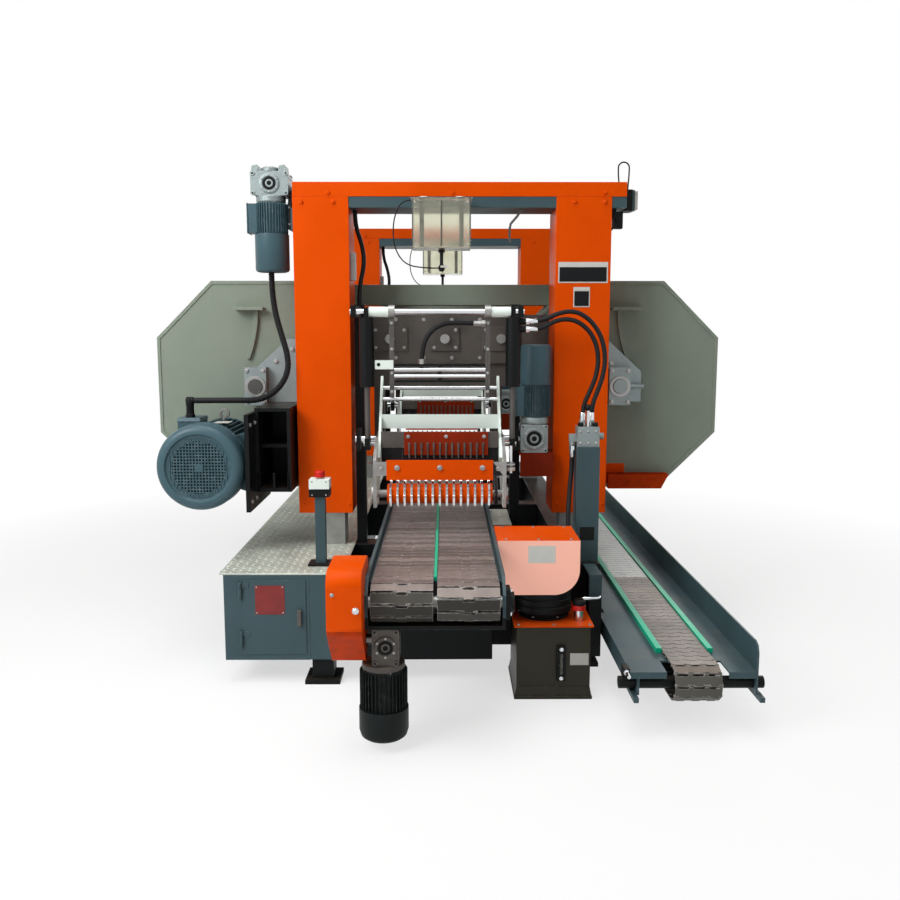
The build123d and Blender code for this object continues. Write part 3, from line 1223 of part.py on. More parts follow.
def make_conveyor_tail_shaft():
    places = [sum(lane) / 2 + offset for lane in lanes() for offset in (-50, 50)]
    ends = BED_HALF + BED_WALL + 8
    return [sprocket_shaft((-ends, ends), OUTFEED_Y, CONVEYOR_Z, places)]


def guard_profile(high, low, inset):
    """Chain guard's outline over both sprockets: upright in front, then slanted, with round corners."""
    reach = GUARD_R - GUARD_ROUND
    low_reach = GUARD_LOW_R - GUARD_ROUND
    middles = [(high[0] - reach, high[1] + reach), (high[0] + reach, high[1] + reach),
               (low[0] + low_reach, low[1] - low_reach), (low[0] - low_reach, low[1] - low_reach),
               (high[0] - reach, high[1] - GUARD_CREASE)]
    return offset(make_face(Polyline(*middles, close=True)), amount=GUARD_ROUND - inset)


def make_drive_guards():
    """Rounded chain guard beside the infeed end, and the hood over the hydraulic pump."""
    high = (INFEED_Y, CONVEYOR_Z)
    low = (INFEED_Y + 36, CONVEYOR_Z - GUARD_LOW_DROP)
    x = (-BED_HALF - BED_WALL - GUARD_W, -BED_HALF - BED_WALL)
    outer = extrude(facing_x(x[0], 0, 0) * guard_profile(high, low, 0), amount=GUARD_W)
    inside = guard_profile(high, low, SHEET)
    outer -= extrude(facing_x(x[0] + SHEET, 0, 0) * inside, amount=GUARD_W - 2 * SHEET)
    outer -= rod_x((x[1] - 10, x[1] + 1), *high, SHAFT_R + 4)
    outer -= rod_x((x[1] - 10, x[1] + 1), *low, 20)
    hood_x = (BED_HALF + BED_WALL, HOOD_X1)
    hood = block(hood_x, HOOD_Y, HOOD_Z)
    corner = [edge for edge in hood.edges().filter_by(Axis.Y)]
    corner = [edge for edge in corner if edge.center().X > hood_x[1] - 1 and edge.center().Z < HOOD_Z[0] + 1]
    hood = fillet(corner, HOOD_ROUND)
    core_x = (hood_x[0] + SHEET, hood_x[1] - SHEET)
    core_y = (HOOD_Y[0] + SHEET, HOOD_Y[1] + 1)
    core = block(core_x, core_y, (HOOD_Z[0] - 1, HOOD_Z[1] - SHEET))
    return [outer, hood - core]


# Return conveyor


def make_return_tray():
    """Tray floor with an apron at the infeed end, right wall, low left sides, and take-up bars."""
    solids = []
    floor_top = RETURN_Z - SLAT_T
    floor_z = (floor_top - TRAY_WALL, floor_top)
    x = around(RETURN_X, TRAY_HALF)
    floor_y = around(0, RETURN_HALF - SLAT_R)
    solids.append(block(x, floor_y, floor_z))
    ends = RETURN_HALF + TRAY_END
    chain_half = CHAIN_W / 2 + STRIP_W + 4
    flange_y = (-ends, -ends + TRAY_WALL)
    flange_z = (floor_top - TRAY_FLANGE, floor_z[0])
    for lip_x in ((x[0], RETURN_X - chain_half), (RETURN_X + chain_half, x[1])):
        solids.append(block(lip_x, (-ends, floor_y[0]), floor_z) + block(lip_x, flange_y, flange_z))
    apron_y = (-ends, RIGHT_RAIL_Y0 - 10)
    apron = block((APRON_X0, x[0] - TRAY_WALL), apron_y, floor_z)
    skirt_y = (-RETURN_HALF + SHAFT_R + 4, apron_y[1])
    apron += block((APRON_X0, APRON_X0 + TRAY_WALL), skirt_y, (floor_top - TRAY_SKIRT, floor_z[0]))
    solids.append(apron + block((APRON_X0, x[0] - TRAY_WALL), flange_y, flange_z))
    under = [(ends, TRAY_Z[0]), (-ends + TRAY_CUT[0], TRAY_Z[0]), (-ends, TRAY_Z[0] + TRAY_CUT[1])]
    right = [(-ends, TRAY_Z[1] - 34), (-ends + 10, TRAY_Z[1] - 10), (-ends + 34, TRAY_Z[1]),
             (ends, TRAY_Z[1])]
    left = [(-ends, floor_top), (ends, floor_top)]
    for outline, limits in ((left, (x[0] - TRAY_WALL, x[0])), (right, (x[1], x[1] + TRAY_WALL))):
        wall = plate_x(outline + under, limits)
        for side in (-1, 1):
            wall -= rod_x(limits, side * RETURN_HALF, RETURN_SHAFT_Z, SHAFT_R + RUN)
        solids.append(wall)
    for bar_x in ((x[0] - TRAY_WALL - 16, x[0] - TRAY_WALL), (x[1] + TRAY_WALL, x[1] + TRAY_WALL + 16)):
        bar_y = (-RETURN_HALF - 66, -RETURN_HALF + 90)
        solids.append(block(bar_x, bar_y, (RETURN_SHAFT_Z - SHAFT_R - 24, RETURN_SHAFT_Z - SHAFT_R - 8)))
    return solids


def make_return_chain():
    limits = around(RETURN_X, CHAIN_W / 2)
    inner = SLAT_R - SLAT_T
    return [loop_along_y((-RETURN_HALF, RETURN_HALF), RETURN_SHAFT_Z, inner, SLAT_R, limits)]


def make_return_shaft(x, side):
    places = [RETURN_X - 45, RETURN_X + 45]
    return [sprocket_shaft(x, side * RETURN_HALF, RETURN_SHAFT_Z, places)]


def make_guide_strips():
    """Wear strips beside the return chain and between the conveyor's two lanes."""
    floor_top = RETURN_Z - SLAT_T
    strip_y = around(0, RETURN_HALF - SLAT_R - 70)
    half = CHAIN_W / 2 + SIDE
    solids = []
    edges = (RETURN_X - half - STRIP_W, RETURN_X + half)
    for strip_x in [(edge, edge + STRIP_W) for edge in edges]:
        solids.append(block(strip_x, strip_y, (floor_top, RETURN_Z + STRIP_RISE)))
    deck_y = (INFEED_Y + SLAT_R, OUTFEED_Y - SLAT_R)
    middle = around(0, LANE_GAP / 2 - SIDE)
    solids.append(block(middle, deck_y, (FEED_Z - SLAT_T, FEED_Z + 4)))
    return solids


# Hydraulic unit, valve stand and control station


def make_hydraulic_tank():
    """Oil tank open below, lid, pump motor, filler cap and level gauge."""
    tank = block(TANK_X, TANK_Y, (0, TANK_H))
    inside = [(low + TANK_WALL, high - TANK_WALL) for low, high in (TANK_X, TANK_Y)]
    tank -= block(*inside, (-1, TANK_H - TANK_WALL))
    lid_x = (TANK_X[0] - 4, TANK_X[1] + 4)
    lid_top = TANK_H + PLATE
    solids = [tank, block(lid_x, (TANK_Y[0] - 4, TANK_Y[1]), (TANK_H, lid_top))]
    pump_x = TANK_X[0] + PUMP_R + 10
    pump_y = sum(HOOD_Y) / 2
    solids.append(rod_z(pump_x, pump_y, (lid_top, lid_top + 20), PUMP_R * 0.8))
    solids.append(rod_z(pump_x, pump_y, (lid_top + 20, HOOD_Z[1] - SHEET), PUMP_R))
    cap_x, cap_y = TANK_X[1] - 42, TANK_Y[0] + 62
    solids.append(rod_z(cap_x, cap_y, (lid_top, lid_top + 40), 16))
    solids.append(rod_z(cap_x, cap_y, (lid_top + 40, lid_top + 78), 25))
    gauge_x = around(TANK_X[1] - 110, 16)
    solids.append(block(gauge_x, (TANK_Y[0] - 14, TANK_Y[0]), (70, 196)))
    return solids


def valve_middle():
    return sum(RAIL_RIGHT) / 2 + 14, VALVE_POST_Y + VALVE_POST_D / 2


def valve_ports():
    """Upright hose ports on the valve block, either side of its lever."""
    x = valve_middle()[0]
    return x + VALVE_PORT_X, x - VALVE_PORT_X


def make_control_stands():
    """Valve post with its valve block, and the emergency stop post with its box."""
    x, y = valve_middle()
    post_x = around(x, VALVE_POST_W / 2)
    post_y = (VALVE_POST_Y, VALVE_POST_Y + VALVE_POST_D)
    solids = [tube_along_z(post_x, post_y, (BASE_TOP, VALVE_Z - PLATE), 5)]
    solids.append(block(post_x, post_y, (VALVE_Z - PLATE, VALVE_Z)))
    valve_x = around(x, VALVE_POST_W / 2 - 2)
    valve = block(valve_x, around(y, 30), (VALVE_Z, VALVE_Z + VALVE_H))
    slot_top = VALVE_Z + VALVE_H
    lever_y = y - LEVER_FRONT
    slot = block(around(x, 20), around(lever_y, LEVER_R + 2), (slot_top - 26, slot_top + 1))
    valve = valve - slot - rod_y(x, around(lever_y, 15), slot_top - 12, LEVER_PIN_R + RUN)
    solids.append(valve)
    for port_x in valve_ports():
        solids.append(rod_z(port_x, y + VALVE_PORT_BACK, (slot_top, slot_top + 22), 12))
    solids.append(block((valve_x[0] - 28, valve_x[0]), around(y, 14), (VALVE_Z + 18, VALVE_Z + 46)))
    solids.append(rod_z(valve_x[0] - 15, y, (VALVE_Z, VALVE_Z + 18), 12))
    solids.append(rod_x((valve_x[1], valve_x[1] + 20), y, VALVE_Z + 38, 13))
    foot = block(around(STATION_X, 46), around(STATION_Y, 40), (DECK_Z, DECK_Z + 8))
    post_w = STATION_W / 2
    post = tube_along_z(around(STATION_X, post_w), around(STATION_Y, post_w), (DECK_Z + 8, STATION_Z), 3)
    box_x, box_y, box_h = STATION_BOX
    box = block(around(STATION_X, box_x / 2), around(STATION_Y, box_y / 2), (STATION_Z, STATION_Z + box_h))
    stem = rod_z(STATION_X, STATION_Y, (STATION_Z + box_h - 24, STATION_Z + box_h + 1), BUTTON_STEM_R + RUN)
    solids += [foot, post, box - stem]
    return solids


def make_valve_lever():
    x, y = valve_middle()
    lever_y = y - LEVER_FRONT
    pivot_z = VALVE_Z + VALVE_H - 12
    solid = rod_z(x, lever_y, (pivot_z, pivot_z + LEVER_LEN), LEVER_R)
    solid += rod_y(x, around(lever_y, 14), pivot_z, LEVER_PIN_R)
    solid += Pos(x, lever_y, pivot_z + LEVER_LEN) * Sphere(13)
    return [solid]


def make_estop_button():
    top = STATION_Z + STATION_BOX[2]
    head_z = (top + BUTTON_TRAVEL + SIDE, top + BUTTON_TRAVEL + BUTTON_H)
    solid = rod_z(STATION_X, STATION_Y, head_z, BUTTON_R)
    solid = fillet(solid.edges().group_by(Axis.Z)[-1], 8)
    solid += rod_z(STATION_X, STATION_Y, (top - 16, head_z[0]), BUTTON_STEM_R)
    return [solid]


def hose_routes():
    """Routes of the hoses and tubes that fixed fittings hold at both ends, with their radii."""
    x, y = valve_middle()
    routes = []
    barrel_y = FACE_Y["front"] + PIVOT_Y - CYLINDER_ARM
    end_x = cylinder_x(1) + BARREL_R + 22
    start_z = VALVE_Z + VALVE_H + 22
    port_y = y + VALVE_PORT_BACK
    outer = ((0, 54), (24, 114), (46, 178), (52, 252), (34, 325), (-8, 384), (-64, 416), (-124, 410))
    inner = ((0, 54), (30, 116), (53, 176), (60, 243), (44, 310), (6, 360), (-46, 386), (-104, 381))
    for bulges, port_x, end_z in zip((outer, inner), valve_ports(), port_levels()):
        points = [(port_x, port_y, start_z)]
        for step, (dx, dz) in enumerate(bulges):
            lean = (barrel_y - port_y) * step / len(bulges)
            points.append((port_x + dx, port_y + lean, start_z + dz))
        points += [(end_x + 58, barrel_y, end_z), (end_x, barrel_y, end_z)]
        routes.append((points, HOSE_R))
    feed_x = x - VALVE_POST_W / 2 + 2 - 15
    lid_top = TANK_H + PLATE
    drop_x = HOOD_X1 - 5
    drop_y = TANK_Y[1] - 17
    routes.append(([
        (feed_x, y, VALVE_Z), (feed_x, y, VALVE_Z - 76), (feed_x - 11, y - 24, VALVE_Z - 168),
        (drop_x, y - 56, VALVE_Z - 262), (drop_x - 2, y - 82, VALVE_Z - 362), (drop_x, drop_y, VALVE_Z - 462),
        (drop_x, drop_y, lid_top)], HOSE_R))
    for face in FACE_Y.values():
        tank_y = face - LUBE_BACK - LUBE_D / 2
        lid_x = LUBE_X[0] - 5
        lid_z = LUBE_Z[1] + 3
        tap_x = sum(LUBE_X) / 2 - 13
        tap_z = LUBE_Z[0] - 71
        routes.append(([
            (lid_x, tank_y, lid_z), (lid_x - 36, tank_y, lid_z), (lid_x - 66, tank_y, lid_z - 60),
            (lid_x - 72, tank_y, lid_z - 132), (lid_x - 60, tank_y, lid_z - 196),
            (lid_x - 20, tank_y, lid_z - 246), (tap_x - 50, tank_y, tap_z), (tap_x, tank_y, tap_z)], WIRE_R))
        inner_x = GAP_X[0] + 16
        cable_y = face + SCREW_DEPTH - 10
        foot_y = face + STAND_DEPTH + STAND_W / 2
        foot_z = TOP_SHAFT_Z + 28 + PLATE
        routes.append(([
            (inner_x, cable_y, BEAM_Z), (inner_x, cable_y, BEAM_Z - 60),
            (inner_x + 26, cable_y, BEAM_Z - 130), (inner_x + 38, foot_y, BEAM_Z - 210),
            (-STAND_X, foot_y, foot_z + 70), (-STAND_X, foot_y, foot_z)], HOSE_R))
        link_y = face + PIVOT_Y - CYLINDER_ARM
        bar_z = TOP_SHAFT_Z - LINK_FRAME_DROP[0]
        link_x = PRESS_MID + LINK_X - LINK_W / 2
        routes.append(([
            (PRESS_MID - 70, link_y, bar_z), (PRESS_MID - 70, link_y, bar_z + 86),
            (PRESS_MID - 1, link_y, bar_z + 157), (link_x - 79, link_y, bar_z + 158),
            (link_x - SEAT, link_y, bar_z + 155)], HOSE_R))
        arch = ((-17, SEAT), (-21.5, 40), (-22, 63), (-22, 81), (-9, 94),
                (9, 94), (22, 81), (22, 63), (21.5, 35), (17, SEAT - 20))
        arch_y = face + SCREW_DEPTH
        routes.append(([(BEAM_X[1] + 5 + dx, arch_y, BEAM_COVER_TOP + dz) for dx, dz in arch], ARCH_R))
    return routes


def make_hoses():
    return [hose(points, radius) for points, radius in hose_routes()]


NODES = {
    "base_frame": make_base_frame(),
    "levelling_feet": make_feet(),
    "cabinet": make_cabinet(),
    "cabinet_door": make_cabinet_door(),
    "tread_plates": make_tread_plates(),
    "gantry_frames": make_gantry_frames(),
    "gantry_covers": make_gantry_covers(),
    "worm_gearmotors": make_worm_gearmotors(),
    "lube_tanks": make_lube_tanks(),
    "hold_down_stands": make_hold_down_stands(),
    "cylinder_barrels": make_cylinder_barrels(),
    "conveyor_bed": make_conveyor_bed(),
    "conveyor_slats": make_conveyor_slats(),
    "conveyor_drive_shaft": make_conveyor_drive_shaft(),
    "conveyor_tail_shaft": make_conveyor_tail_shaft(),
    "drive_guards": make_drive_guards(),
    "return_tray": make_return_tray(),
    "return_chain": make_return_chain(),
    "return_drive_shaft": make_return_shaft((RETURN_X - TRAY_HALF - 30, END_BAR_X[1] + 1.5), 1),
    "return_tail_shaft": make_return_shaft(END_BAR_X, -1),
    "guide_strips": make_guide_strips(),
    "hydraulic_tank": make_hydraulic_tank(),
    "control_stands": make_control_stands(),
    "valve_lever": make_valve_lever(),
    "estop_button": make_estop_button(),
    "hoses": make_hoses(),
}
for gantry, gantry_y in FACE_Y.items():
    NODES[gantry + "_head_frame"] = make_head_frame(gantry_y)
    NODES[gantry + "_wheel_housings"] = make_wheel_housings(gantry_y)
    NODES[gantry + "_drive_wheel"] = make_drive_wheel(gantry_y)
    NODES[gantry + "_idler_carrier"] = make_idler_carrier(gantry_y)
    NODES[gantry + "_idler_wheel"] = [wheel(WHEEL_X, gantry_y, AXLE_R + RUN)]
    NODES[gantry + "_blade"] = make_blade(gantry_y)
    NODES[gantry + "_main_motor"] = make_main_motor(gantry_y)
    NODES[gantry + "_motor_pulley"] = make_motor_pulley(gantry_y)
    NODES[gantry + "_drive_belts"] = make_drive_belts(gantry_y)
    NODES[gantry + "_conduit"] = make_conduit(gantry_y)
    NODES[gantry + "_lift_screw_left"] = screw(SCREW_LEFT_X, gantry_y)
    NODES[gantry + "_lift_screw_right"] = screw(SCREW_RIGHT_X, gantry_y)
    NODES[gantry + "_cross_shaft"] = make_cross_shaft(gantry_y)
    NODES[gantry + "_press_frame"] = make_press_frame(gantry_y)
    NODES[gantry + "_press_roller"] = make_press_roller(gantry_y)
    NODES[gantry + "_press_shaft"] = make_press_shaft(gantry_y)
    NODES[gantry + "_cylinder_rods"] = make_cylinder_rods(gantry_y)

os.makedirs("parts", exist_ok=True)
for node, shapes in NODES.items():
    pieces = [solid for shape in shapes for solid in shape.solids()]
    export_step(pieces[0] if len(pieces) == 1 else Compound(children=pieces), f"parts/{node}.step")
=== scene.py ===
import math
from contextlib import contextmanager
from itertools import product

import bmesh
import bpy
from mathutils import Matrix, Vector


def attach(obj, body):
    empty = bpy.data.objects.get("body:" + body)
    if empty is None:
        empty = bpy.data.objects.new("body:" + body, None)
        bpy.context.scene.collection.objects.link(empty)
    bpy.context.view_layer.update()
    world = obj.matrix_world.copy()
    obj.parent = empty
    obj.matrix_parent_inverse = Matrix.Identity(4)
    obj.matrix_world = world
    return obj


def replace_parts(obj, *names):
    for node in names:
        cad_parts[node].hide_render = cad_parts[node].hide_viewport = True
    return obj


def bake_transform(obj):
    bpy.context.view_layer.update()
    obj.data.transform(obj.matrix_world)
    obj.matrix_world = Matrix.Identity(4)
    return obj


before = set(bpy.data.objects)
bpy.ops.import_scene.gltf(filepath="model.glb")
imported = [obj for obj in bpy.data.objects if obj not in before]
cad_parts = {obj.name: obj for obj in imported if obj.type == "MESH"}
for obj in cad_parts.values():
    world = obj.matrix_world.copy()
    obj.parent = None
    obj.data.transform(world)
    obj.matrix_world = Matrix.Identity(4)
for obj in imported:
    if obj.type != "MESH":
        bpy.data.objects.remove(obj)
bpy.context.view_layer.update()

# Places of the machine in millimetres: X across the feed, Y along it, Z up

MM = 0.001
GANTRIES = {"front": -947.5, "rear": 732.5}  # front faces of the column covers
COLUMN_D = 215
COVER_LEFT = (-570, -350)
COVER_RIGHT = (470, 690)
BEAM_X = (-570, 748)
BEAM_Z = (1782, 1824)
BEAM_COVER_TOP = 1880
LIFT_X = BEAM_X[0] - 94  # lift geared motors
LIFT_Z = (1831, 1925)
SHELF_CASE_X = (334, 444)  # roller drives' gear cases on their shelves
SHELF_CASE_Z = (812, 926)
WHEEL_X = 771
WHEEL_Z = 1066
HOUSING_Y = (253, 453)  # depths from a gantry's face
HOUSING_HALF = (434, 444)
HOUSING_CUT = 240
AXLE_DEPTH = 165
MOTOR_X = -912  # main motors
MOTOR_Z = 780
MOTOR_HALF = 245
CONDUIT_DEPTH = -60  # elbow on the main motor's terminal box
CONDUIT_Z = 1025
BASE_HALF = 1381
DECK_Z = 420
TREAD_X = (-800, -345)
FEED_Z = 540
SLAT_R = 60
CONVEYOR_Y = (-1925, 1990)
CONVEYOR_WALL_X = 214.5
LANE_W = 191
LANE_GAP = 11
RETURN_HALF = 1804
RETURN_X = 838
RETURN_Z = 234
RETURN_DRIVE_X = 1104
CHAIN_W = 152
CHAIN_BARE_Y = -777  # the return chain's slats take the darker chain finish before this place, and bare steel after it
TANK_X = (277, 551)  # hydraulic unit
TANK_Y = (-1533, -1240)
TANK_H = 265
LID_TOP = TANK_H + 6
HOOD_X = (214.5, 505)
HOOD_Y = (-1510, -1270)
HOOD_Z = (376, 572)
PUMP_R = 103
VALVE_X = 576.5
VALVE_Y = -1160
VALVE_Z = 862
VALVE_PORTS = (VALVE_X + 17, VALVE_X - 17)
VALVE_PORT_Y = VALVE_Y + 16
VALVE_PORT_Z = VALVE_Z + 98
STATION = (-441, -1246)  # stop button's box
STATION_Z = 684
LUBE_X = 17  # middle of the lubricant tanks, with their front and underside
LUBE_DEPTH = -140
LUBE_Z = 1613
PRESS_MID = 10
PIVOT_Z = 862
ROLLER_DEPTH = -252
PLATE_DEPTH = ROLLER_DEPTH - 60  # front plate of a press frame
ROLLER_Z = 684
ROLLER_W = 400
STARS = 15  # toothed discs on a press roller
CHAIN_R = 38  # of the roller's chain round its sprockets
CHAIN_PITCH = 12.7
TOP_SHAFT_Z = 1372
CYLINDER_DEPTH = -150
CYLINDER_Y = GANTRIES["front"] + CYLINDER_DEPTH
CYLINDER_PORTS = (1336, 1306)  # heights of the right cylinder's hose ports
LINK_X = (PRESS_MID - 185, PRESS_MID + 185)  # hanging links of the hold-downs
STEP_X = (214.5, 298)  # small tread plate beside the conveyor
STEP_Y = (-1046, -744)
STEP_Z = 530
INNER_PLATE_X = (-128.5, 196.5)  # plate between a press frame's raised arms
INNER_PLATE_Z = (823.5, 914.5)
INNER_DEPTH = -196
FINGERS = 13
FLAP_X = (-217, 237)  # rubber flap behind that plate
FLAP_STRIPS = 11


def around(middle, half):
    return (middle - half, middle + half)


def inside(limits, inset):
    """Limits drawn in by an inset, or moved out by a negative one."""
    return (limits[0] + inset, limits[1] - inset)


def rectangle(across, up):
    return [(across[0], up[0]), (across[1], up[0]), (across[1], up[1]), (across[0], up[1])]


def eight_sided(across, up, cut):
    """Rectangle with its corners cut off."""
    (left, right), (low, high) = across, up
    return [(left + cut, low), (right - cut, low), (right, low + cut), (right, high - cut),
            (right - cut, high), (left + cut, high), (left, high - cut), (left, low + cut)]


def drawn_in(outline, share):
    """Outline scaled about its middle."""
    middle = [sum(point[index] for point in outline) / len(outline) for index in (0, 1)]
    return [[m + (c - m) * share for c, m in zip(point, middle)] for point in outline]


def circle(count, radius, middle=(0.0, 0.0), turn=0.0):
    """Points round a circle, the first of them at a turn in radians."""
    angles = [turn + 2 * math.pi * step / count for step in range(count)]
    return [(middle[0] + radius * math.cos(a), middle[1] + radius * math.sin(a)) for a in angles]


# Finishes

EDGE_R = 0.0035  # metres over which an edge wears
RELIEF = 0.0006  # metres of fine bump
PLASTIC_IOR = 1.4
SAWDUST = (196, 164, 122)
FINISHES = {}


def linear(red, green, blue):
    """Linear colour from display values of 0 to 255."""
    shares = [value / 255 for value in (red, green, blue)]
    return [s / 12.92 if s <= 0.04045 else ((s + 0.055) / 1.055) ** 2.4 for s in shares] + [1.0]


def scaled(colour, factor):
    return [min(1.0, part * factor) for part in colour[:3]] + [1.0]


def fill(node, sockets):
    """Gives a node's sockets their values, or links them to the outputs of other nodes."""
    for key, value in sockets.items():
        if isinstance(value, bpy.types.NodeSocket):
            node.id_data.links.new(value, node.inputs[key])
        else:
            node.inputs[key].default_value = value


def added(tree, kind, sockets=(), **settings):
    node = tree.nodes.new("ShaderNode" + kind)
    for name, value in settings.items():
        setattr(node, name, value)
    fill(node, dict(sockets))
    return node


def noise(tree, place, scale, detail):
    return added(tree, "TexNoise", {"Vector": place, "Scale": scale, "Detail": detail}).outputs["Fac"]


def ranged(tree, value, low, high, to_low=0.0, to_high=1.0):
    limits = {"From Min": low, "From Max": high, "To Min": to_low, "To Max": to_high}
    return added(tree, "MapRange", {"Value": value, **limits}).outputs["Result"]


def joined(tree, operation, first, second):
    return added(tree, "Math", {0: first, 1: second}, operation=operation).outputs[0]


def mixed(tree, share, first, second):
    """Colour between two colours, each a value or a socket."""
    return added(tree, "Mix", {0: share, 6: first, 7: second}, data_type="RGBA").outputs[2]


def worn_edges(tree, clouds, amount):
    """Share that is high on the part's sharp edges, broken up by clouds."""
    rounded = added(tree, "Bevel", {"Radius": EDGE_R}, samples=4).outputs["Normal"]
    flat = added(tree, "NewGeometry").outputs["Normal"]
    dot = added(tree, "VectorMath", {0: rounded, 1: flat}, operation="DOT_PRODUCT").outputs["Value"]
    broken = ranged(tree, clouds, 0.62 - 0.3 * amount, 0.72)
    return joined(tree, "MULTIPLY", ranged(tree, dot, 0.99, 0.88), broken)


def upward(tree):
    """Share that is high on faces that look up."""
    normal = added(tree, "NewGeometry").outputs["Normal"]
    return ranged(tree, added(tree, "SeparateXYZ", {0: normal}).outputs["Z"], 0.5, 0.95)


def finish(name, colour, rough, metallic=0.0, mottle=0.12, patch=5.0, grain=700.0, bump=0.03, shine=0.3,
           worn=None, dust_and_sheen=0.0, least_dust_and_sheen=0.0, dust_and_sheen_colour=SAWDUST, varied=0.0, clear=0.0):
    """Material with clouded colour, uneven gloss, fine bump, and worn edges or a lighter upward colour where
    given; the upward colour is dust, and on the slats partly painted sheen.

    Where it is varied, each loose piece of a mesh is darkened by its own share.
    """
    FINISHES[name] = material = bpy.data.materials.new(name)
    material.use_nodes = True
    tree = material.node_tree
    colour = linear(*colour)
    place = added(tree, "TexCoord").outputs["Object"]
    clouds = noise(tree, place, patch, 6.0)
    specks = noise(tree, place, grain, 3.0)
    spread = ranged(tree, clouds, 0.3, 0.7)
    tone = mixed(tree, spread, scaled(colour, 1 - mottle), scaled(colour, 1 + mottle))
    gritty = joined(tree, "MULTIPLY", ranged(tree, specks, 0.35, 0.65), spread)
    tone = mixed(tree, gritty, tone, scaled(colour, 1 + 0.5 * mottle))
    # Lighter colour on upward faces: dust, and on the slats partly painted sheen.
    if dust_and_sheen:
        dust_and_sheen_share = ranged(tree, noise(tree, place, patch * 2.3, 8.0), 0.35, 0.75, least_dust_and_sheen, dust_and_sheen)
        tone = mixed(tree, joined(tree, "MULTIPLY", upward(tree), dust_and_sheen_share), tone, linear(*dust_and_sheen_colour))
    if varied:
        piece = added(tree, "NewGeometry").outputs["Random Per Island"]
        tone = mixed(tree, ranged(tree, piece, 0.0, 1.0, 0.0, varied), tone, scaled(colour, 0.3))
    if worn:
        edge_colour, wear = worn
        edge = worn_edges(tree, noise(tree, place, patch * 9, 4.0), wear)
        tone = mixed(tree, edge, tone, linear(*edge_colour))
    relief = added(tree, "Bump", {"Strength": bump * 10, "Distance": RELIEF, "Height": specks})
    sockets = {"Base Color": tone, "Metallic": metallic, "Specular IOR Level": shine,
               "Roughness": ranged(tree, clouds, 0.25, 0.75, rough - 0.07, rough + 0.09),
               "Normal": relief.outputs["Normal"]}
    if clear:
        sockets.update({"Transmission Weight": clear, "IOR": PLASTIC_IOR})
    fill(tree.nodes["Principled BSDF"], sockets)


finish("orange_paint", (226, 78, 1), 0.38, mottle=0.06, bump=0.015, shine=0.06, worn=((160, 86, 48), 0.3),
       dust_and_sheen=0.06)
# Darker, mottled orange: dirt in its specks and mottle, painted shade in its darker colour.
finish("dirty_orange", (176, 54, 6), 0.5, mottle=0.22, patch=26, grain=240, bump=0.05, shine=0.06,
       worn=((150, 84, 50), 0.7))
# Deep red-brown orange: painted shade, for the shelves under the roller drives and the plates between a
# press frame's arms.
finish("dark_orange", (134, 38, 8), 0.45, mottle=0.2, shine=0.12, worn=((150, 78, 44), 0.5))
# Pale salmon, half-metallic orange: a painted reflection of glare on the pump hood's front face.
finish("faded_orange", (255, 190, 170), 0.4, metallic=0.6, mottle=0.04, patch=3, bump=0.015, shine=0.2,
       worn=((232, 110, 60), 0.4))
finish("slate_paint", (60, 81, 87), 0.42, mottle=0.1, bump=0.02, shine=0.22, worn=((116, 130, 132), 0.4),
       dust_and_sheen=0.07)
finish("housing_paint", (134, 145, 132), 0.5, mottle=0.07, grain=420, bump=0.06, shine=0.15,
       worn=((196, 200, 190), 0.7), dust_and_sheen=0.2)
finish("motor_paint", (61, 88, 97), 0.36, mottle=0.1, worn=((128, 146, 152), 0.35))
finish("black_paint", (16, 18, 19), 0.42, mottle=0.25, bump=0.04, shine=0.13, worn=((70, 70, 70), 0.5),
       dust_and_sheen=0.05)
finish("tank_paint", (54, 52, 40), 0.4, shine=0.2, worn=((120, 118, 104), 0.35), dust_and_sheen=0.15)
finish("white_paint", (232, 244, 237), 0.38, mottle=0.05, bump=0.02, shine=0.2, worn=((120, 112, 104), 0.4))
finish("bare_steel", (150, 150, 148), 0.38, metallic=0.9, mottle=0.2, patch=14, grain=1400, bump=0.05,
       worn=((206, 206, 202), 0.6))
# Slats: the dark steel of their sides is painted shade, and the light grey on their upward faces is partly
# dust, partly painted sheen.
finish("slat_steel", (66, 64, 59), 0.42, metallic=0.5, mottle=0.2, patch=9, grain=1100, bump=0.07,
       worn=((216, 212, 208), 0.9), dust_and_sheen=0.95, least_dust_and_sheen=0.7, dust_and_sheen_colour=(168, 154, 148), varied=0.6)
finish("chain_steel", (84, 83, 78), 0.4, metallic=0.7, mottle=0.2, patch=6, grain=1100, bump=0.07,
       worn=((196, 194, 190), 0.9), dust_and_sheen=0.8, least_dust_and_sheen=0.5, dust_and_sheen_colour=(140, 126, 116), varied=0.5)
finish("tread_steel", (198, 205, 194), 0.46, metallic=0.5, mottle=0.16, patch=9, grain=800, bump=0.05,
       worn=((214, 214, 208), 0.9), dust_and_sheen=0.15)
finish("chrome", (206, 210, 212), 0.16, metallic=1, mottle=0.08, patch=20, grain=1600, bump=0.01)
finish("gear_alloy", (136, 147, 147), 0.44, metallic=0.55, mottle=0.16, patch=12, grain=900, bump=0.08,
       worn=((210, 210, 206), 0.6))
finish("dark_steel", (86, 82, 78), 0.5, metallic=0.4, mottle=0.3, patch=8, bump=0.08,
       worn=((160, 156, 150), 0.6), dust_and_sheen=0.3)
finish("wheel_iron", (84, 82, 80), 0.5, metallic=0.7, mottle=0.25, patch=10, grain=600, bump=0.08,
       worn=((150, 148, 142), 0.6))
finish("rubber", (20, 20, 22), 0.55, mottle=0.2, patch=18, grain=1200, bump=0.04, shine=0.2)
finish("clear_plastic", (240, 240, 226), 0.12, mottle=0.05, patch=12, grain=260, bump=0.006, clear=0.92)
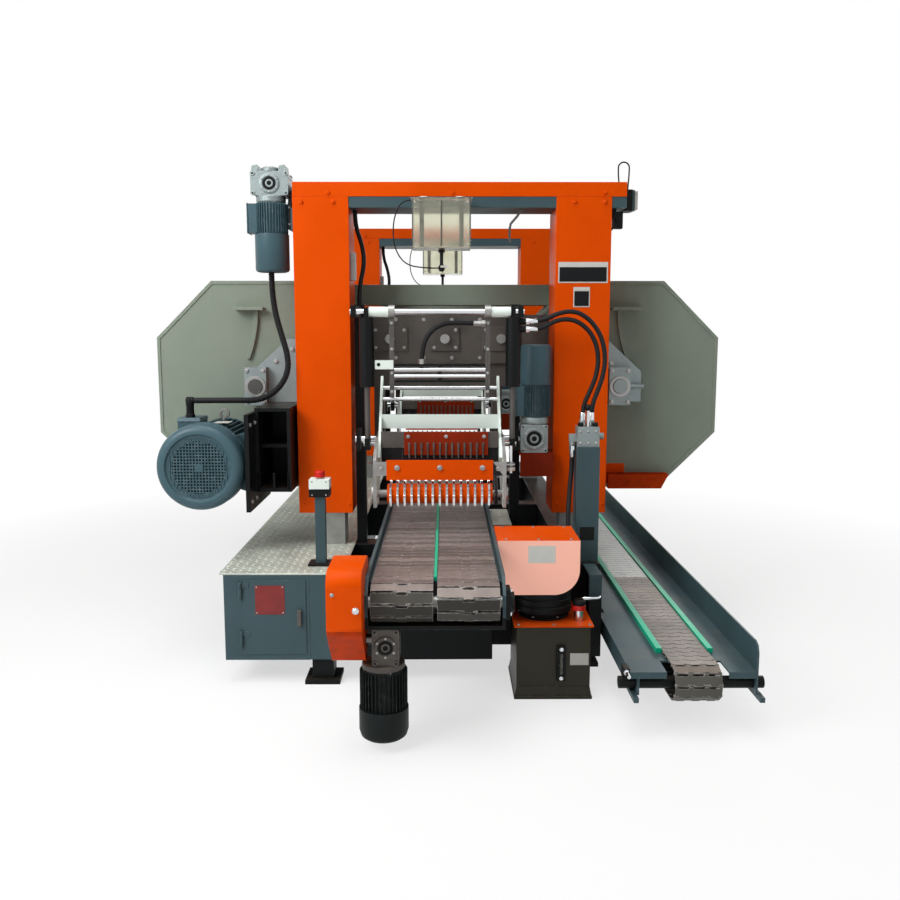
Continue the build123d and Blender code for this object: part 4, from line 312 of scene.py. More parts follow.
finish("green_plastic", (8, 182, 142), 0.4, mottle=0.1, patch=8, worn=((70, 160, 130), 0.4), dust_and_sheen=0.08)
finish("red_plastic", (200, 26, 18), 0.32, mottle=0.08, patch=20, bump=0.02)
finish("maroon_plate", (126, 44, 42), 0.35, patch=20, bump=0.01)
# Near-black motor paint: painted shade on the conveyor's motor.
finish("painted_shade_motor", (24, 28, 28), 0.45, mottle=0.16, shine=0.12, worn=((84, 90, 90), 0.3))
finish("grey_plastic", (206, 206, 200), 0.42, mottle=0.05, patch=20, bump=0.02)


# Mesh pieces

SMOOTH_ANGLE = math.radians(32)
FLAT_ANGLE = math.radians(0.6)
WELD_GAP = 0.00002
STILL = Matrix.Identity(4)
ORDER = {"x": (1, 2, 0), "y": (0, 2, 1), "z": (0, 1, 2)}

# Heads in units of their size: heights with radii, sides, and a turn in radians
BOLT = ((((0, 1.05), (0.16, 1.05)), 20, 0.0), (((0.16, 0.9), (0.68, 0.9), (0.80, 0.72)), 6, 0.3))
SCREW = ((((0, 1), (0.35, 1), (0.6, 0.66)), 16, 0.0),)


def spot(axis, across, up, along):
    """Point from two places across an axis and one along it."""
    point = [0.0, 0.0, 0.0]
    for index, value in zip(ORDER[axis], (across, up, along)):
        point[index] = value
    return point


class Shapes:
    """Closed shapes of one finish, in millimetres, gathered into one mesh."""

    def __init__(self, move=STILL):
        self.mesh = bmesh.new()
        self.move = move

    def skin(self, rings, loop=False):
        """Joins rings of points with as many points each, and caps the ends of an open row."""
        rows = [[self.mesh.verts.new(self.move @ Vector(point) * MM) for point in ring] for ring in rings]
        pairs = list(zip(rows, rows[1:]))
        if loop:
            pairs.append((rows[-1], rows[0]))
        for low, high in pairs:
            for index in range(len(low)):
                after = (index + 1) % len(low)
                self.mesh.faces.new((low[index], low[after], high[after], high[index]))
        if not loop:
            self.mesh.faces.new(rows[0])
            self.mesh.faces.new(rows[-1])

    def sections(self, axis, outlines, loop=False):
        """Joins outlines across an axis, each with its place along it."""
        self.skin([[spot(axis, u, v, along) for u, v in outline] for outline, along in outlines], loop)

    def prism(self, axis, outline, span):
        self.sections(axis, [(outline, along) for along in span])

    def taper(self, axis, outline, span, share):
        """Prism whose far end is the outline drawn in about its middle."""
        self.sections(axis, zip((outline, drawn_in(outline, share)), span))

    def box(self, x, y, z):
        self.prism("z", rectangle(x, y), z)

    def rim(self, axis, outer, inner, span):
        """Frame between two outlines."""
        self.sections(axis, zip((outer, outer, inner, inner), (*span, *span[::-1])), loop=True)

    def lathe(self, axis, place, profile, sides=32, seat=0.0, out=1, size=1.0, loop=False, turn=0.0):
        """Round shape from heights over a seat along its axis, and radii in units of a size."""
        rings = [(circle(sides, radius * size, place, turn), seat + out * rise) for rise, radius in profile]
        self.sections(axis, rings, loop)

    def rod(self, axis, place, span, radius, sides=28):
        self.lathe(axis, place, [(along, radius) for along in span], sides)

    def ring(self, axis, place, span, outer, inner, sides=36):
        profile = [(span[0], inner), (span[0], outer), (span[1], outer), (span[1], inner)]
        self.lathe(axis, place, profile, sides, loop=True)

    def bolts(self, axis, places, seat, out, size, head=BOLT):
        """Heads that stand out from a seat along an axis, the bolts' with a washer each."""
        for place in places:
            for profile, sides, turn in head:
                self.lathe(axis, place, profile, sides, seat, out * size, size, turn=turn)

    def screws(self, axis, places, seat, out, size):
        self.bolts(axis, places, seat, out, size, SCREW)

    def tube(self, points, radius_at, sides=14):
        """Round tube along points, with a radius for each distance from its start."""
        rings = []
        side = None
        reach = 0.0
        for index, point in enumerate(points):
            before = points[max(index - 1, 0)]
            after = points[min(index + 1, len(points) - 1)]
            along = (after - before).normalized()
            if side is None:
                side = along.orthogonal().normalized()
            side = (side - along * side.dot(along)).normalized()
            other = along.cross(side)
            reach += (point - before).length
            rings.append([point + side * u + other * v for u, v in circle(sides, radius_at(reach))])
        self.skin(rings)


@contextmanager
def moved(move, *gathered):
    """Moves what is made inside it."""
    before = [shapes.move for shapes in gathered]
    for shapes in gathered:
        shapes.move = shapes.move @ move
    yield
    for shapes, old in zip(gathered, before):
        shapes.move = old


class Kit:
    """Mesh pieces of several finishes that ride one body, with places counted from an origin."""

    def __init__(self, name, body="base", origin=(0, 0, 0)):
        self.name = name
        self.body = body
        self.shapes = {}
        self.stand(origin)

    def stand(self, origin):
        """Sets the origin of what is made next."""
        self.move = Matrix.Translation(origin)
        for shapes in self.shapes.values():
            shapes.move = self.move

    def __getitem__(self, finish_name):
        if finish_name not in self.shapes:
            self.shapes[finish_name] = Shapes(self.move)
        return self.shapes[finish_name]

    def pick(self, *names):
        return [self[name] for name in names]

    def done(self, bevel=0.0, replaces=()):
        """Makes the pieces, the first of which may stand for nodes of the construction."""
        pieces = []
        for finish_name, shapes in self.shapes.items():
            piece = mesh_piece(f"{self.name}_{finish_name}", shapes.mesh, FINISHES[finish_name], bevel)
            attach(piece, self.body)
            pieces.append(piece)
        for node in replaces:
            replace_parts(pieces[0], node)


def mesh_piece(name, shape, material, bevel):
    """Object from a gathered mesh, smooth where its faces meet at a low angle."""
    bmesh.ops.recalc_face_normals(shape, faces=shape.faces)
    for face in shape.faces:
        face.smooth = True
    for edge in shape.edges:
        edge.smooth = bevel > 0 or edge.calc_face_angle(0.0) < SMOOTH_ANGLE
    mesh = bpy.data.meshes.new(name)
    shape.to_mesh(mesh)
    shape.free()
    mesh.materials.append(material)
    piece = shown(name, mesh)
    if bevel:
        round_edges(piece, bevel)
    return piece


def shown(name, data):
    piece = bpy.data.objects.new(name, data)
    bpy.context.scene.collection.objects.link(piece)
    return piece


def round_edges(piece, width):
    """Narrow round on each sharp edge, so that edges catch the light."""
    edge = piece.modifiers.new("edge", "BEVEL")
    edge.width = width * MM
    edge.segments = 2
    edge.limit_method = "ANGLE"
    edge.angle_limit = SMOOTH_ANGLE
    edge.harden_normals = True


# Finishes of the construction's own nodes

PLAIN_NODES = {
    "levelling_feet": ("black_paint", 2.0), "cabinet": ("slate_paint", 1.2),
    "tread_plates": ("tread_steel", 1.2), "cylinder_barrels": ("black_paint", 0.0),
    "conveyor_drive_shaft": ("bare_steel", 0.0), "conveyor_tail_shaft": ("bare_steel", 0.0),
    "return_tray": ("slate_paint", 1.2), "return_drive_shaft": ("black_paint", 0.0),
    "return_tail_shaft": ("black_paint", 0.0), "guide_strips": ("green_plastic", 1.0)}
PLAIN_GANTRY_NODES = {
    "blade": ("bare_steel", 0.0), "drive_wheel": ("wheel_iron", 0.0), "idler_wheel": ("wheel_iron", 0.0),
    "idler_carrier": ("gear_alloy", 1.5), "motor_pulley": ("wheel_iron", 0.0),
    "drive_belts": ("rubber", 0.0), "lift_screw_left": ("bare_steel", 0.0),
    "lift_screw_right": ("bare_steel", 0.0), "cross_shaft": ("bare_steel", 0.0),
    "press_shaft": ("chrome", 0.0)}


def dress(node, finish_name, *zones, bevel=0.0, face=0.0):
    """Gives a node its finish, and other finishes inside zones of limits on X, Y from a face, and Z."""
    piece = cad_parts[node]
    mesh = piece.data
    mesh.materials.clear()
    for name in (finish_name, *[zone[0] for zone in zones]):
        mesh.materials.append(FINISHES[name])
    for polygon in mesh.polygons:
        middle = polygon.center / MM - Vector((0, face, 0))
        for index, (_, *limits) in enumerate(zones):
            if all(limit is None or limit[0] <= part <= limit[1] for part, limit in zip(middle, limits)):
                polygon.material_index = index + 1
    if bevel:
        weld = piece.modifiers.new("weld", "WELD")
        weld.merge_threshold = WELD_GAP
        flat = piece.modifiers.new("flat", "DECIMATE")
        flat.decimate_type = "DISSOLVE"
        flat.angle_limit = FLAT_ANGLE
        flat.delimit = {"MATERIAL"}
        round_edges(piece, bevel)


def dress_base():
    for node, (paint, bevel) in PLAIN_NODES.items():
        dress(node, paint, bevel=bevel)
    dress("base_frame", "black_paint", ("slate_paint", (-480, -375), None, None),
          ("slate_paint", (558, 608), (-1382, -1228), (329, 415)), bevel=3.0)
    dress("cabinet_door", "slate_paint", ("dark_steel", (-530, -480), (-1420, -1385), None), bevel=1.2)
    dress("gantry_frames", "slate_paint", ("bare_steel", None, None, (0, 1700)), bevel=1.5)
    # Shelves under the roller drives take the deep red-brown orange of painted shade.
    shelves = [("dark_orange", (334, 470), around(face + 8, 60), (700, 812)) for face in GANTRIES.values()]
    dress("gantry_covers", "orange_paint", *shelves, bevel=1.5)
    zones = []
    for face in GANTRIES.values():
        depth = around(face + CYLINDER_DEPTH, 21)
        zones += [("wheel_iron", around(x, 9.5), depth, (1040, TOP_SHAFT_Z - 20)) for x in LINK_X]
        zones += [("chrome", x, depth, (1114, 1162)) for x in ((-170, -20), (40, 190))]
        zones += [("white_paint", x, depth, around(TOP_SHAFT_Z, 21)) for x in ((-264, -166), (186, 284))]
        zones.append(("chrome", (-340, 340), around(face + CYLINDER_DEPTH, 12.5), around(TOP_SHAFT_Z, 12.5)))
    dress("hold_down_stands", "black_paint", *zones)
    dress("conveyor_bed", "slate_paint", ("black_paint", None, (-1960, -1800), (380, 445)), bevel=1.2)
    # The pump hood's front face is pale salmon: painted glare.
    dress("drive_guards", "orange_paint", ("faded_orange", HOOD_X, around(HOOD_Y[0], 1), HOOD_Z),
          # Lower front of the chain guard: darker orange, partly dirt and partly painted shade.
          ("dirty_orange", (-330, -214), (-2060, -1925), (280, 430)), bevel=2.0)
    station = ((-500, -390), (-1290, -1200))
    dress("control_stands", "slate_paint", ("gear_alloy", (500, 660), (-1200, -1120), (862.5, 1000)),
          ("white_paint", *station, (749, 751)), ("black_paint", *station, (420, 436)), bevel=1.2)
    dress("valve_lever", "black_paint", ("chrome", None, None, (0, 995)))
    dress("estop_button", "red_plastic", ("bare_steel", None, None, (0, 754)))


def dress_gantry(name, face):
    for node, (paint, bevel) in PLAIN_GANTRY_NODES.items():
        dress(f"{name}_{node}", paint, bevel=bevel)
    dress(f"{name}_head_frame", "gear_alloy", ("black_paint", (-745, -575), (-220, 216), (600, 999)),
          ("dark_steel", (-349, 469), (210, 400), None), bevel=1.5, face=face)
    dress(f"{name}_wheel_housings", "housing_paint", ("dirty_orange", (730, 1000), (190, 252.5), (620, 686)),
          ("orange_paint", (730, 816), (249, 252.5), (684, 725)), bevel=2.0, face=face)
    dress(f"{name}_cylinder_rods", "wheel_iron", ("black_paint", None, None, (0, 885)))
    arms = (-218.5, 238.5)
    dress(f"{name}_press_frame", "bare_steel",
          ("orange_paint", (-189.5, 209.5), around(PLATE_DEPTH + 3, 4), (744, 822)),
          # Plate between the raised arms: painted shade in a deep red-brown orange.
          ("dark_orange", INNER_PLATE_X, around(INNER_DEPTH + 3, 3.5), INNER_PLATE_Z),
          ("dark_steel", None, around(INNER_DEPTH + 9, 3.5), (850, 916)),
          ("white_paint", (-228.5, -217.5), None, None), ("white_paint", (237.5, 248.5), None, None),
          ("white_paint", arms, (-128, -116), (919, 976)), ("chrome", arms, (-70, -19), (1020, 1083)),
          ("rubber", (219.5, 228.5), None, None), face=face)
    pitch = ROLLER_W / STARS
    stars = [around(PRESS_MID - ROLLER_W / 2 + pitch * (row + 0.5), 4.2) for row in range(STARS)]
    dress(f"{name}_press_roller", "orange_paint", ("bare_steel", (-260, -190.5), None, None),
          ("bare_steel", (210.5, 290), None, None), *[("chrome", star, None, None) for star in stars])


# Geared motors

CASE_RISE = 5.0  # millimetres that a case's covers stand out

# Heights in millimetres, with shares of the radius
CASE_COVER = ((0, 0.84), (4, 0.84), (CASE_RISE, 0.80), (CASE_RISE, 0.60), (1, 0.54), (1, 0.34),
              (CASE_RISE, 0.32), (CASE_RISE, 0.19), (0, 0.19))


def finned_body(shapes, axis, middle, span, core, fin, count):
    """Motor frame with cooling fins along its axis."""
    shapes.rod(axis, middle, span, core, 40)
    half = 0.028 * fin
    outline = [(core * 0.97, -half), (fin, -half * 0.6), (fin, half * 0.6), (core * 0.97, half)]
    origin = Matrix.Translation(spot(axis, *middle, 0))
    for step in range(count):
        turn = Matrix.Rotation(2 * math.pi * (step + 0.5) / count, 4, axis.upper())
        with moved(origin @ turn, shapes):
            shapes.prism(axis, outline, inside(span, 3))


def gear_case(alloy, dark, steel, x, y, z):
    """Eight-sided case with a round cover, screws and bosses on its front and back."""
    middle = (sum(x) / 2, sum(z) / 2)
    half = min(x[1] - x[0], z[1] - z[0]) / 2
    body_y = inside(y, CASE_RISE)
    alloy.prism("y", eight_sided(x, z, 0.3 * half), body_y)
    for seat, out in zip(body_y, (-1, 1)):
        alloy.lathe("y", middle, CASE_COVER, 36, seat, out, half, loop=True)
        dark.ring("y", middle, (seat, seat + out * 1.6), 0.55 * half, 0.33 * half)
        dark.rod("y", middle, (seat - out * 2, seat + out), 0.19 * half, 20)
        steel.screws("y", circle(6, 0.71 * half, middle, math.pi / 6), seat + out * 4.6, out, 4)
        for boss in product(inside(x, 9), inside(z, 9)):
            alloy.rod("y", boss, (seat - out * 6, seat + out * 4), 9, 20)
            dark.rod("y", boss, (seat, seat + out * 4.4), 4, 12)
    for level in inside(z, 0.25 * (z[1] - z[0])):
        alloy.box(inside(x, -1.5), inside(y, 16), around(level, 3))


def worm_unit(kit, case, motor, radius, length, up, paint="motor_paint", box_turn=180, metal="gear_alloy",
              dome=0.16, finned=0.50):
    """Worm gear case with an upright finned motor above or below it."""
    alloy, dark, steel, shell, rubber = kit.pick(metal, "black_paint", "bare_steel", paint, "rubber")
    gear_case(alloy, dark, steel, *case)
    start, side = (case[2][1], 1) if up else (case[2][0], -1)
    neck, body, rim = 0.09 * length, finned * length, dome * radius
    flange, fan, end = [start + side * reach for reach in (neck, body, length)]
    collar = [(0, 0.80), (4, 0.86), (neck - 4, 0.86), (neck, 0.82)]
    alloy.lathe("z", motor, collar, 40, start, side, radius)
    finned_body(shell, "z", motor, sorted((flange, fan)), 0.85 * radius, 0.96 * radius, 36)
    cover = [(body, 1), (length - rim, 1), (length - 0.3 * rim, 0.93), (length, 0.80), (length - 3, 0.72)]
    shell.lathe("z", motor, cover, 44, start, side, radius)
    for share in (0.62, 0.46, 0.30):
        shell.ring("z", motor, (end - side * 3, end), share * radius + 3, share * radius - 3)
    rubber.rod("z", motor, (end - side * 4, end - side * 2.4), 0.72 * radius, 40)
    shell.rod("z", motor, (end - side * 4, end - side), 0.14 * radius)
    steel.screws("z", circle(4, 0.8 * radius, motor, 0.4), flange, -side, 4)
    box_z = sorted((flange + side * 4, fan - side * 4))
    out, half = 1.36 * radius, 0.5 * radius
    turned = Matrix.Translation((*motor, 0)) @ Matrix.Rotation(math.radians(box_turn), 4, "Z")
    with moved(turned, shell, steel, dark):
        shell.box((0.7 * radius, out - 6), around(0, half), box_z)
        shell.box((out - 5, out), around(0, half + 2), inside(box_z, -2))
        dark.box((out - 6, out - 5), around(0, half), inside(box_z, 1))
        dark.rod("y", (out - 0.28 * radius, sum(box_z) / 2), (-half - 9, -half), 9)
        steel.screws("x", product(around(0, 0.4 * radius), inside(box_z, 8)), out, 1, 3)


def make_geared_motors():
    kit = Kit("geared_motor")
    alloy = kit["gear_alloy"]
    depth = COLUMN_D / 2
    lift = (LIFT_X, depth - 50)
    for face in GANTRIES.values():
        kit.stand((0, face, 0))
        worm_unit(kit, (around(LIFT_X, 75), (depth - 88, depth + 30), LIFT_Z), lift, 68.0, 298.0, False)
        alloy.lathe("z", lift, [(0, 36), (13, 36), (17, 30)], seat=LIFT_Z[1])
        for x in (LIFT_X - 58, LIFT_X + 50):
            ear = [(x - 15, 1912), (x + 15, 1912), (x + 10, 1951), (x - 12, 1946)]
            alloy.prism("y", ear, (depth - 78, depth + 20))
        alloy.rod("x", (depth, 1855), (LIFT_X + 75, BEAM_X[0] - 2.5), 20)
        kit["bare_steel"].bolts("z", circle(6, 25, lift), LIFT_Z[1] + 16, 1, 4)
        worm_unit(kit, (SHELF_CASE_X, (-55, 55), SHELF_CASE_Z), (397, 0), 62.0, 320.0, True)
    kit.stand((0, CONVEYOR_Y[0] + 36, 0))
    # The conveyor's motor takes the near-black paint of painted shade.
    worm_unit(kit, ((-195, -111), (-58, 58), (282, 400)), (-163, 0), 78.0, 246.0, False, "painted_shade_motor", 90,
              "dark_steel", dome=0.34, finned=0.60)
    kit["bare_steel"].rod("x", (0, 350), (-274.5, -195), 16)
    kit.stand((RETURN_DRIVE_X, RETURN_HALF, 0))
    worm_unit(kit, ((-42, 42), (-50, 50), (124, 232)), (0, 0), 60.0, 250.0, True, box_turn=0)
    alloy.lathe("z", (0, 0), [(98, 20), (104, 27), (124, 27)])
    kit.done(bevel=1.0, replaces=["worm_gearmotors"])


# Main motors

FAN_BLADES = 9

# Depths with radii: the fan cover from the front, outside and then inside, and the shield from the back
FAN_COVER = ((125, 166), (24, 166), (12, 162), (3, 152), (0, 140), (0, 131), (9, 124), (9, 116), (14, 116),
             (14, 128), (16, 150), (28, 160), (125, 160))
END_SHIELD = ((-36, 150), (-26, 150), (-19, 138), (-5, 138), (0, 120))


def make_main_motor(name, face):
    kit = Kit(f"{name}_motor", f"{name}_head", (MOTOR_X, face, MOTOR_Z))
    shell, rubber, dark, steel, grey = kit.pick(
        "motor_paint", "rubber", "black_paint", "bare_steel", "grey_plastic")
    axis = (0, 0)
    front, back = -MOTOR_HALF, MOTOR_HALF
    shell.lathe("y", axis, FAN_COVER, 64, front, loop=True)
    shell.ring("y", axis, (front + 96, front + 104), 168, 165, 64)
    grille(shell, front + 9)
    rubber.rod("y", axis, (front + 62, front + 66), 158, 48)
    dark.rod("y", axis, (front + 28, front + 62), 40, 32)
    for step in range(FAN_BLADES):
        with moved(Matrix.Rotation(2 * math.pi * step / FAN_BLADES, 4, "Y"), dark):
            dark.box((36, 146), (front + 30, front + 60), (-2.5, 2.5))
    finned_body(shell, "y", axis, (front + 122, back - 26), 134, 150, 46)
    shell.lathe("y", axis, END_SHIELD, 56, back)
    steel.bolts("y", circle(8, 128, turn=math.pi / 8), back - 5, 1, 6)
    for depth, side in product((-60, 149), (-1, 1)):
        shell.box((158, 172), around(depth, 28), around(side * 92, 34))
        web = [(160, side * 62), (160, side * 122), (80, side * 96.6), (80, side * 50.6)]
        for offset in (-20, 20):
            shell.prism("y", web, around(depth + offset, 4))
        steel.bolts("x", [(depth, side * 110)], 158, -1, 9)
    box_x, box_y = (-118, -30), (-90, 30)
    shell.box(box_x, box_y, (100, 164))
    shell.taper("z", rectangle(inside(box_x, -4), inside(box_y, -4)), (164, 178), 0.9)
    steel.screws("z", product(inside(box_x, 6), inside(box_y, 6)), 171, 1, 5)
    gland = (-74, CONDUIT_DEPTH)
    dark.lathe("z", gland, [(175, 20), (190, 20)], 6)
    dark.lathe("z", gland, [(190, 16), (222, 15), (226, 16.5), (250, 16.5), (258, 12)])
    elbow = (CONDUIT_DEPTH, CONDUIT_Z - MOTOR_Z)
    dark.lathe("x", elbow, [(-90, 8), (-86, 15), (-60, 15), (-58, 13.5)], 24)
    steel.ring("y", (18, 176), (114, 126), 22, 12)
    steel.rod("z", (18, 120), (140, 158), 9)
    grey.box((8, 70), (-30, 40), (150.5, 152))
    kit.done(bevel=1.0, replaces=[f"{name}_main_motor"])


def grille(shapes, depth):
    """Fan cover's grille: crossed bars in a ring, with a plain square in the middle."""
    pitch = 12.0
    reach = 118.0
    for step in range(-9, 10):
        bar = around(step * pitch, 2.4)
        across = around(0, math.sqrt(reach ** 2 - (step * pitch) ** 2))
        shapes.box(bar, (depth, depth + 3), across)
        shapes.box(across, (depth + 1, depth + 4), bar)
    shapes.box((-16, 16), (depth - 1, depth + 4), (-16, 16))
    shapes.ring("y", (0, 0), (depth, depth + 5), 119, 104, 48)


# Conveyor slats

SLAT_PITCH = 38.1  # nominal, fitted to a whole number of slats
SLAT_LEVELS = (1.2, 5.7)
TAB_W = 30.0
TAB_D = 5.0
TAB_GAP = 3.4
PIN_R = 4.6
PIN_HALF = 27.0


def loop_joint(span, level, radius, reach):
    """Point at a reach along a loop round two shafts along X, whose halves are alike."""
    run = span[1] - span[0]
    half = run + math.pi * radius
    lower, reach = divmod(reach % (2 * half), half)
    y, z = span[0] + reach, radius
    if reach >= run:
        angle = (reach - run) / radius
        y, z = span[1] + radius * math.sin(angle), radius * math.cos(angle)
    if lower:
        y, z = sum(span) - y, -z
    return Vector((0, y, level + z))


def slat_plan(width, pitch, places):
    """Outline of a slat with tabs along one edge and notches for the next slat's tabs along the other."""
    near, far, deep = TAB_GAP / 2, pitch - TAB_GAP / 2, pitch - TAB_D - TAB_GAP
    front = [(-width / 2, near)]
    rear = [(-width / 2, far)]
    for place in places:
        low, high = around(place, TAB_W / 2)
        front += [(low, near), (low + 2, -TAB_D), (high - 2, -TAB_D), (high, near)]
        low, high = low - TAB_GAP, high + TAB_GAP
        rear += [(low, far), (low + 2, deep), (high - 2, deep), (high, far)]
    return front + [(width / 2, near), (width / 2, far)] + rear[:0:-1] + rear[:1]


def slat_loop(shapes_at, middle, width, span, level, tabs, start):
    """Endless flat-top chain: slats hinged on pins, flat on the runs and round both shafts."""
    joint_r = SLAT_R - 6
    length = 2 * (span[1] - span[0]) + 2 * math.pi * joint_r
    count = round(length / SLAT_PITCH)
    pitch = length / count
    across = Vector((1, 0, 0))
    shares = [(tab + 0.5) / tabs - 0.5 for tab in range(tabs)]
    for step in range(count):
        low, high = [loop_joint(span, level, joint_r, (step + start + end) * pitch) for end in (0, 1)]
        along = (high - low).normalized()
        basis = Matrix((across, along, across.cross(along))).transposed().to_4x4()
        plan = slat_plan(width - 1, (high - low).length, [(width - 1) * share for share in shares])
        slats = shapes_at(low.y)
        with moved(Matrix.Translation(low + middle * across) @ basis, slats):
            slats.prism("z", plan, SLAT_LEVELS)
            for share in shares:
                slats.rod("x", (0, 0), around(width * share, PIN_HALF), PIN_R, 7)


def make_conveyors():
    for side, name, start, replaced in ((-1, "left", 0.0, ["conveyor_slats"]), (1, "right", 0.45, [])):
        kit = Kit(f"conveyor_lane_{name}")
        middle = side * (LANE_GAP + LANE_W) / 2
        slat_loop(lambda y: kit["slat_steel"], middle, LANE_W, CONVEYOR_Y, FEED_Z - SLAT_R, 1, start)
        kit.done(bevel=0.9, replaces=replaced)
    kit = Kit("return_chain_slats")
    slat_loop(lambda y: kit["chain_steel" if y < CHAIN_BARE_Y else "bare_steel"], RETURN_X, CHAIN_W,
              (-RETURN_HALF, RETURN_HALF), RETURN_Z - SLAT_R, 3, 0.0)
    kit.done(bevel=0.9, replaces=["return_chain"])


# Hoses

HOSE_R = 9.0
NUT_R = 13.0
SLEEVE_R = 10.6
RIB_PITCH = 9.0
CONDUIT_R = 11.6
RIB_H = 1.3
BEND_R = 150.0  # of the conduit, in four steps
BEND_STEP = math.radians(22.5)
BEND_MIDDLE = (-747, 1175)

# Routes in millimetres, those of two numbers in X and Z and those of three across, in depth and up
HYDRAULIC_BULGES = (
    ((0, 54), (24, 114), (46, 178), (52, 252), (34, 325), (-8, 384), (-64, 416), (-124, 410)),
    ((0, 54), (30, 116), (53, 176), (60, 243), (44, 310), (6, 360), (-46, 386), (-104, 381)))
FEED_ROUTE = [(519.5, -1160, 862), (519.5, -1160, 786), (508.5, -1184, 694), (500, -1216, 600),
              (498, -1242, 500), (500, -1257, 400), (500, -1257, 271)]
TUBE_ROUTE = [(-100, 1799), (-136, 1799), (-166, 1739), (-172, 1667), (-160, 1603), (-120, 1553),
              (-46, 1542), (4, 1542)]
CABLE_ROUTE = [(-334, 97.5, 1782), (-334, 97.5, 1722), (-308, 97.5, 1652), (-296, 90, 1572),
               (-320, 90, 1476), (-320, 90, 1406)]
JUMPER_ROUTE = [(-60, 1173), (-60, 1259), (9, 1330), (107, 1331), (185.6, 1328)]
ARCH_ROUTE = [(736, 1880.4), (731.5, 1920), (731, 1943), (731, 1961), (744, 1974), (762, 1974), (775, 1961),
              (775, 1943), (774.5, 1915), (770, 1860.4)]
CONDUIT_ROUTE = [(-670, 57, 1533), (-670, 57, 1469), (-656, 38, 1369), (-622, 6, 1267), (-602, -9, 1205)]


def nurbs_route(name, points):
    """Open smooth curve whose control points are a route in millimetres."""
    curve = bpy.data.curves.new(name, "CURVE")
    curve.dimensions = "3D"
    curve.resolution_u = 16
    spline = curve.splines.new("NURBS")
    spline.points.add(len(points) - 1)
    for control, point in zip(spline.points, points):
        control.co = [part * MM for part in point] + [1.0]
    spline.order_u = 3
    spline.use_endpoint_u = True
    return shown(name, curve)


def hose(name, points, radius=HOSE_R):
    piece = nurbs_route(name, points)
    piece.data.bevel_depth = radius * MM
    piece.data.bevel_resolution = 6
    piece.data.use_fill_caps = True
    piece.data.materials.append(FINISHES["rubber"])
    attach(piece, "base")
    return piece


def hydraulic_routes():
    """Two hoses from the valve block up and over to the right cylinder's ports."""
    routes = []
    for bulges, port_x, end_z in zip(HYDRAULIC_BULGES, VALVE_PORTS, CYLINDER_PORTS):
        points = [(port_x, VALVE_PORT_Y, VALVE_PORT_Z)]
        for step, (dx, dz) in enumerate(bulges):
            lean = (CYLINDER_Y - VALVE_PORT_Y) * step / len(bulges)
            points.append((port_x + dx, VALVE_PORT_Y + lean, VALVE_PORT_Z + dz))
        routes.append(points + [(400, CYLINDER_Y, end_z), (342, CYLINDER_Y, end_z)])
    return routes


def conduit_route(face):
    """Route of a conduit from the lift motor to the main motor's elbow."""
    points = [(x, face + depth, z) for x, depth, z in CONDUIT_ROUTE]
    reach = BEND_R / math.cos(BEND_STEP / 2)
    for step in range(4):
        x, z = circle(1, reach, BEND_MIDDLE, -BEND_STEP * (step + 0.5))[0]
        points.append((x, face - 24 - 12 * step, z))
    end_y = face + CONDUIT_DEPTH
    return points + [(-777, end_y, CONDUIT_Z + 1), (-969.6, end_y, CONDUIT_Z)]


def make_conduit(name, face):
    """Corrugated conduit along a route from the lift motor to the main motor's elbow."""
    guide = nurbs_route("guide", conduit_route(face))
    guide.data.resolution_u = 64
    path = bpy.data.meshes.new_from_object(guide)
    points = [vertex.co / MM for vertex in path.vertices]
    bpy.data.objects.remove(guide)
    shapes = Shapes()
    shapes.tube(points, lambda reach: CONDUIT_R + RIB_H * math.cos(2 * math.pi * reach / RIB_PITCH))
    piece = mesh_piece(f"{name}_conduit_ribbed", shapes.mesh, FINISHES["rubber"], 0.0)
    for edge in piece.data.edges:
        edge.use_edge_sharp = False
    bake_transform(piece)
    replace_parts(piece, f"{name}_conduit")


def hose_end(shapes, axis, place, seat, out, nut, sleeve):
    """Hexagon nut on a seat, and the sleeve over a hose's end."""
    shapes.lathe(axis, place, [(0, NUT_R), (nut, NUT_R)], 6, seat, out)
    end = sleeve[-1][0] + 2
    shapes.lathe(axis, place, [*sleeve, (end, HOSE_R + 0.6)], seat=seat, out=out)


def make_hoses():
    first, second = hydraulic_routes()
    main = hose("hydraulic_hose_1", first)
    hose("hydraulic_hose_2", second)
    hose("feed_hose", FEED_ROUTE)
    for name, face in GANTRIES.items():
        hose(f"{name}_lubricant_tube", [(x, face - 76, z) for x, z in TUBE_ROUTE], 2.5)
        hose(f"{name}_beam_cable", [(x, face + depth, z) for x, depth, z in CABLE_ROUTE])
        hose(f"{name}_jumper_hose", [(x, face + CYLINDER_DEPTH, z) for x, z in JUMPER_ROUTE])
        hose(f"{name}_end_cable", [(x, face + COLUMN_D / 2, z) for x, z in ARCH_ROUTE], 3.0)
        make_conduit(name, face)
    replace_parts(main, "hoses")
    kit = Kit("hose_end")
    steel = kit["chrome"]
    for x in VALVE_PORTS:
        sleeve = [(14, 11), (22, SLEEVE_R), (50, SLEEVE_R)]
        hose_end(steel, "z", (x, VALVE_PORT_Y), VALVE_PORT_Z - 22, 1, 14, sleeve)
    for z in CYLINDER_PORTS:
        hose_end(steel, "x", (CYLINDER_Y, z), 340, 1, 14, [(14, SLEEVE_R), (44, SLEEVE_R)])
    (*top, top_z), (*low, low_z) = FEED_ROUTE[0], FEED_ROUTE[-1]
    hose_end(steel, "z", top, top_z, -1, 16, [(16, SLEEVE_R), (42, SLEEVE_R)])
    hose_end(steel, "z", low, low_z, 1, 15, [(15, SLEEVE_R), (43, SLEEVE_R)])
    kit.done(bevel=0.6)


# Tanks


